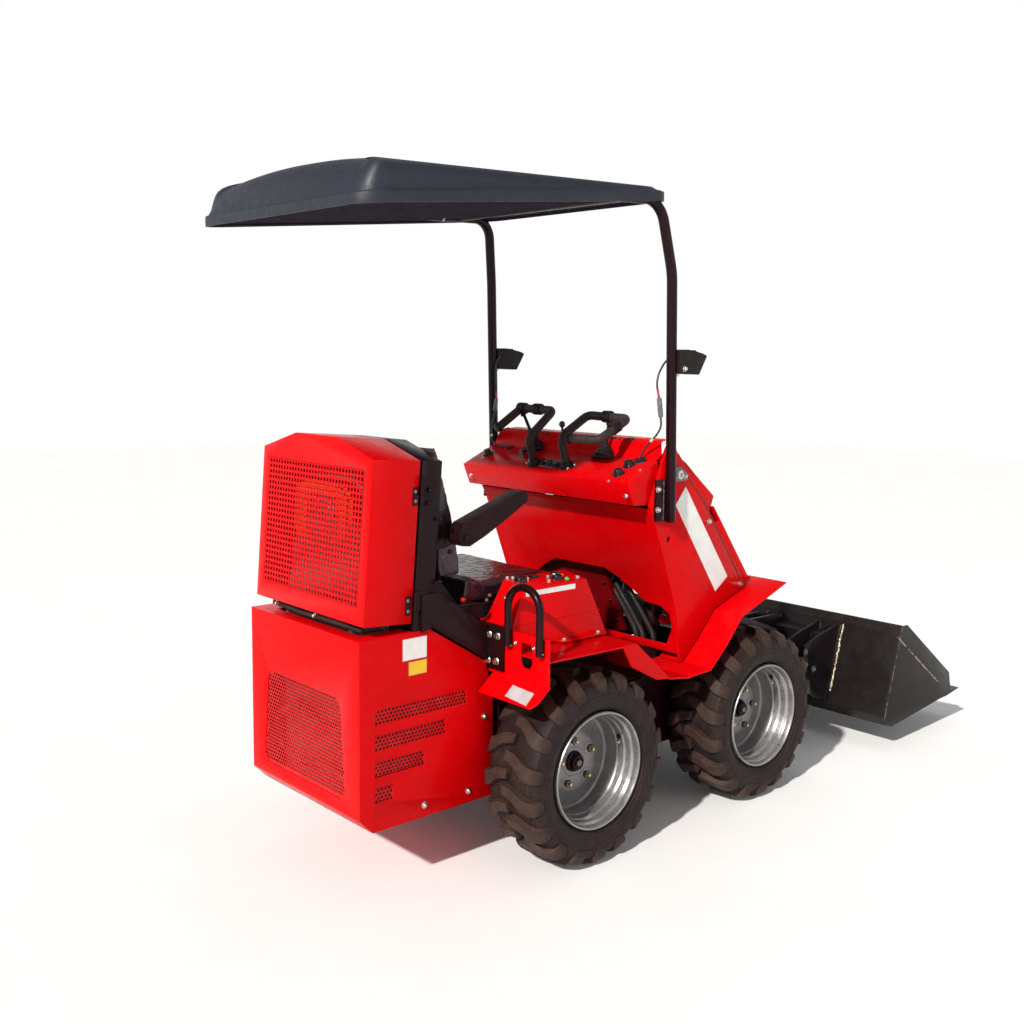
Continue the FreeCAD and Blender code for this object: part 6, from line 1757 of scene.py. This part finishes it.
def rust_mat():
    k = Mat("surface_rust")
    c = k.mix(k.ramp(k.noise(60.0, 6.0, 0.7), 0.35, 0.7), (0.22, 0.075, 0.028, 1), (0.09, 0.035, 0.018, 1))
    k.color(c)
    k.rough(k.ramp(k.noise(120.0, 4.0), 0.3, 0.7, 0.7, 0.9))
    k.bump(k.noise(300.0, 4.0), 0.3, 0.0005)
    return k.m


RUST = rust_mat()
ru = Buf()
rnd = random.Random(31)


def patch(cy, cz, ry, rz, s, n=26):
    pts = []
    for k in range(n):
        a_ = 2 * math.pi * k / n
        f = 1.0 + rnd.uniform(-0.28, 0.22)
        pts.append((cy + ry * f * math.cos(a_), cz + rz * f * math.sin(a_)))
    ru.prism("X", pts, s * 549.6, s * 549.98)


patch(-1903, 164, 15, 9, -1)
patch(-1925, 158, 8, 5, -1)
patch(-1640, 352, 7, 3.4, -1)
patch(-1750, 272, 9, 3.4, -1)
patch(-1870, 180, 8, 5, 1)
make("bucket_rust_patches", ru, [RUST], "bucket")
pn = Buf()
for s in (-1, 1):
    for y, z in ((-1296, 369), (-1299, 318), (-1354, 293)):
        pn.bolt((s * 311.0, y, z), (s, 0, 0), 16.0, 8.0, 2.0, domed=True)
make("attach_pin_heads", pn, [GREYPLATE], body_of_node("quick_attach"), angle=36.0)


def _todo():
    skip = {n for o in bpy.data.objects if o.get("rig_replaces") for n in o["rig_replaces"]}
    table = {"black_paint": BLACK_RED_REFLECT, "red_paint": RED, "bucket_paint": BUCKET, "canopy_plastic": CANOPY,
             "tyre_rubber": TYRE, "rim_silver": RIM, "seat_vinyl": VINYL, "black_plastic": PLASTIC,
             "rubber_grip": GRIP, "steel_rod": CHROME, "zinc_steel": ZINC, "engine_metal": CAST}
    for s in frame["record"]["subparts"]:
        if s["node"] not in skip:
            paint_node(s["node"], table[s["material_slot"]])


_todo()


# ---------------------------------------------------- camera, floor, light
scene = bpy.context.scene
yaw, pitch, roll = 2.3222, -0.1114, 0.0137
fw = Vector((math.sin(yaw) * math.cos(pitch), math.cos(yaw) * math.cos(pitch), math.sin(pitch)))
r0 = Vector((math.cos(yaw), -math.sin(yaw), 0.0))
u0 = r0.cross(fw)
right = r0 * math.cos(roll) + u0 * math.sin(roll)
upv = u0 * math.cos(roll) - r0 * math.sin(roll)
cam_data = bpy.data.cameras.new("camera")
cam = bpy.data.objects.new("camera", cam_data)
scene.collection.objects.link(cam)
rot = Matrix((right, upv, -fw)).transposed().to_4x4()
cam.matrix_world = Matrix.Translation(Vector((-2.7101, 2.3192 + SHIFT / 1000.0, 1.4642))) @ rot
cam_data.sensor_fit = "HORIZONTAL"
cam_data.sensor_width = 36.0
cam_data.lens = 1145.66 / 1024.0 * 36.0
cam_data.shift_x = (512.0 - 541.29) / 1024.0
cam_data.shift_y = (483.74 - 512.0) / 1024.0
cam_data.clip_end = 100.0
scene.camera = cam

floor_buf = Buf()
n = floor_buf.add([(-14, -14, 0), (14, -14, 0), (14, 14, 0), (-14, 14, 0)])
floor_buf.face((n, n + 1, n + 2, n + 3))
fm = Mat("pale_floor")
fm.color(fm.mix(fm.ramp(fm.noise(3.0, 4.0), 0.3, 0.7), (0.87, 0.87, 0.87, 1), (0.85, 0.85, 0.85, 1)))
fm.set(Roughness=0.7)
me = bpy.data.meshes.new("floor")
me.from_pydata(floor_buf.v, [], floor_buf.f)
me.materials.append(fm.m)
floor = bpy.data.objects.new("floor", me)
scene.collection.objects.link(floor)

world = bpy.data.worlds.new("soft_studio")
scene.world = world
world.use_nodes = True
bg = world.node_tree.nodes["Background"]
bg.inputs["Color"].default_value = (1.0, 1.0, 1.0, 1)
wt = world.node_tree
wc = wt.nodes.new("ShaderNodeTexCoord")
ws_ = wt.nodes.new("ShaderNodeSeparateXYZ")
wr_ = wt.nodes.new("ShaderNodeMapRange")
wr_.interpolation_type = "SMOOTHSTEP"
wr_.inputs["From Min"].default_value = 0.28
wr_.inputs["From Max"].default_value = 0.50
wr_.inputs["To Min"].default_value = 1.0
wr_.inputs["To Max"].default_value = 0.26
wt.links.new(wc.outputs["Generated"], ws_.inputs[0])
wt.links.new(ws_.outputs["Z"], wr_.inputs["Value"])
wt.links.new(wr_.outputs["Result"], bg.inputs["Strength"])


def area(name, loc, aim, size, power, color=(1, 1, 1)):
    ld = bpy.data.lights.new(name, "AREA")
    ld.shape = "DISK"
    ld.size = size
    ld.energy = power
    ld.color = color
    ob = bpy.data.objects.new(name, ld)
    scene.collection.objects.link(ob)
    ob.location = Vector(loc)
    ob.rotation_euler = (Vector(aim) - Vector(loc)).to_track_quat("-Z", "Y").to_euler()
    return ob


sd_ = bpy.data.lights.new("key", "SUN")
sd_.energy = 4.6
sd_.angle = 0.035
sd_.color = (1.0, 0.96, 0.91)
sun = bpy.data.objects.new("key", sd_)
scene.collection.objects.link(sun)
sun.location = (-2.2, 6.2, 5.2)
sun.rotation_euler = Vector((2.0, -6.2, -4.6)).to_track_quat("-Z", "Y").to_euler()
area("fill", (-6.0, -0.5, 3.2), (0, 0, 0.7), 3.0, 30, (0.95, 0.97, 1.0))
area("top", (0.5, 0.0, 6.5), (0, 0, 0.8), 3.5, 40, (0.95, 0.97, 1.0))
scene.view_settings.view_transform = "Standard"
scene.view_settings.look = "None"
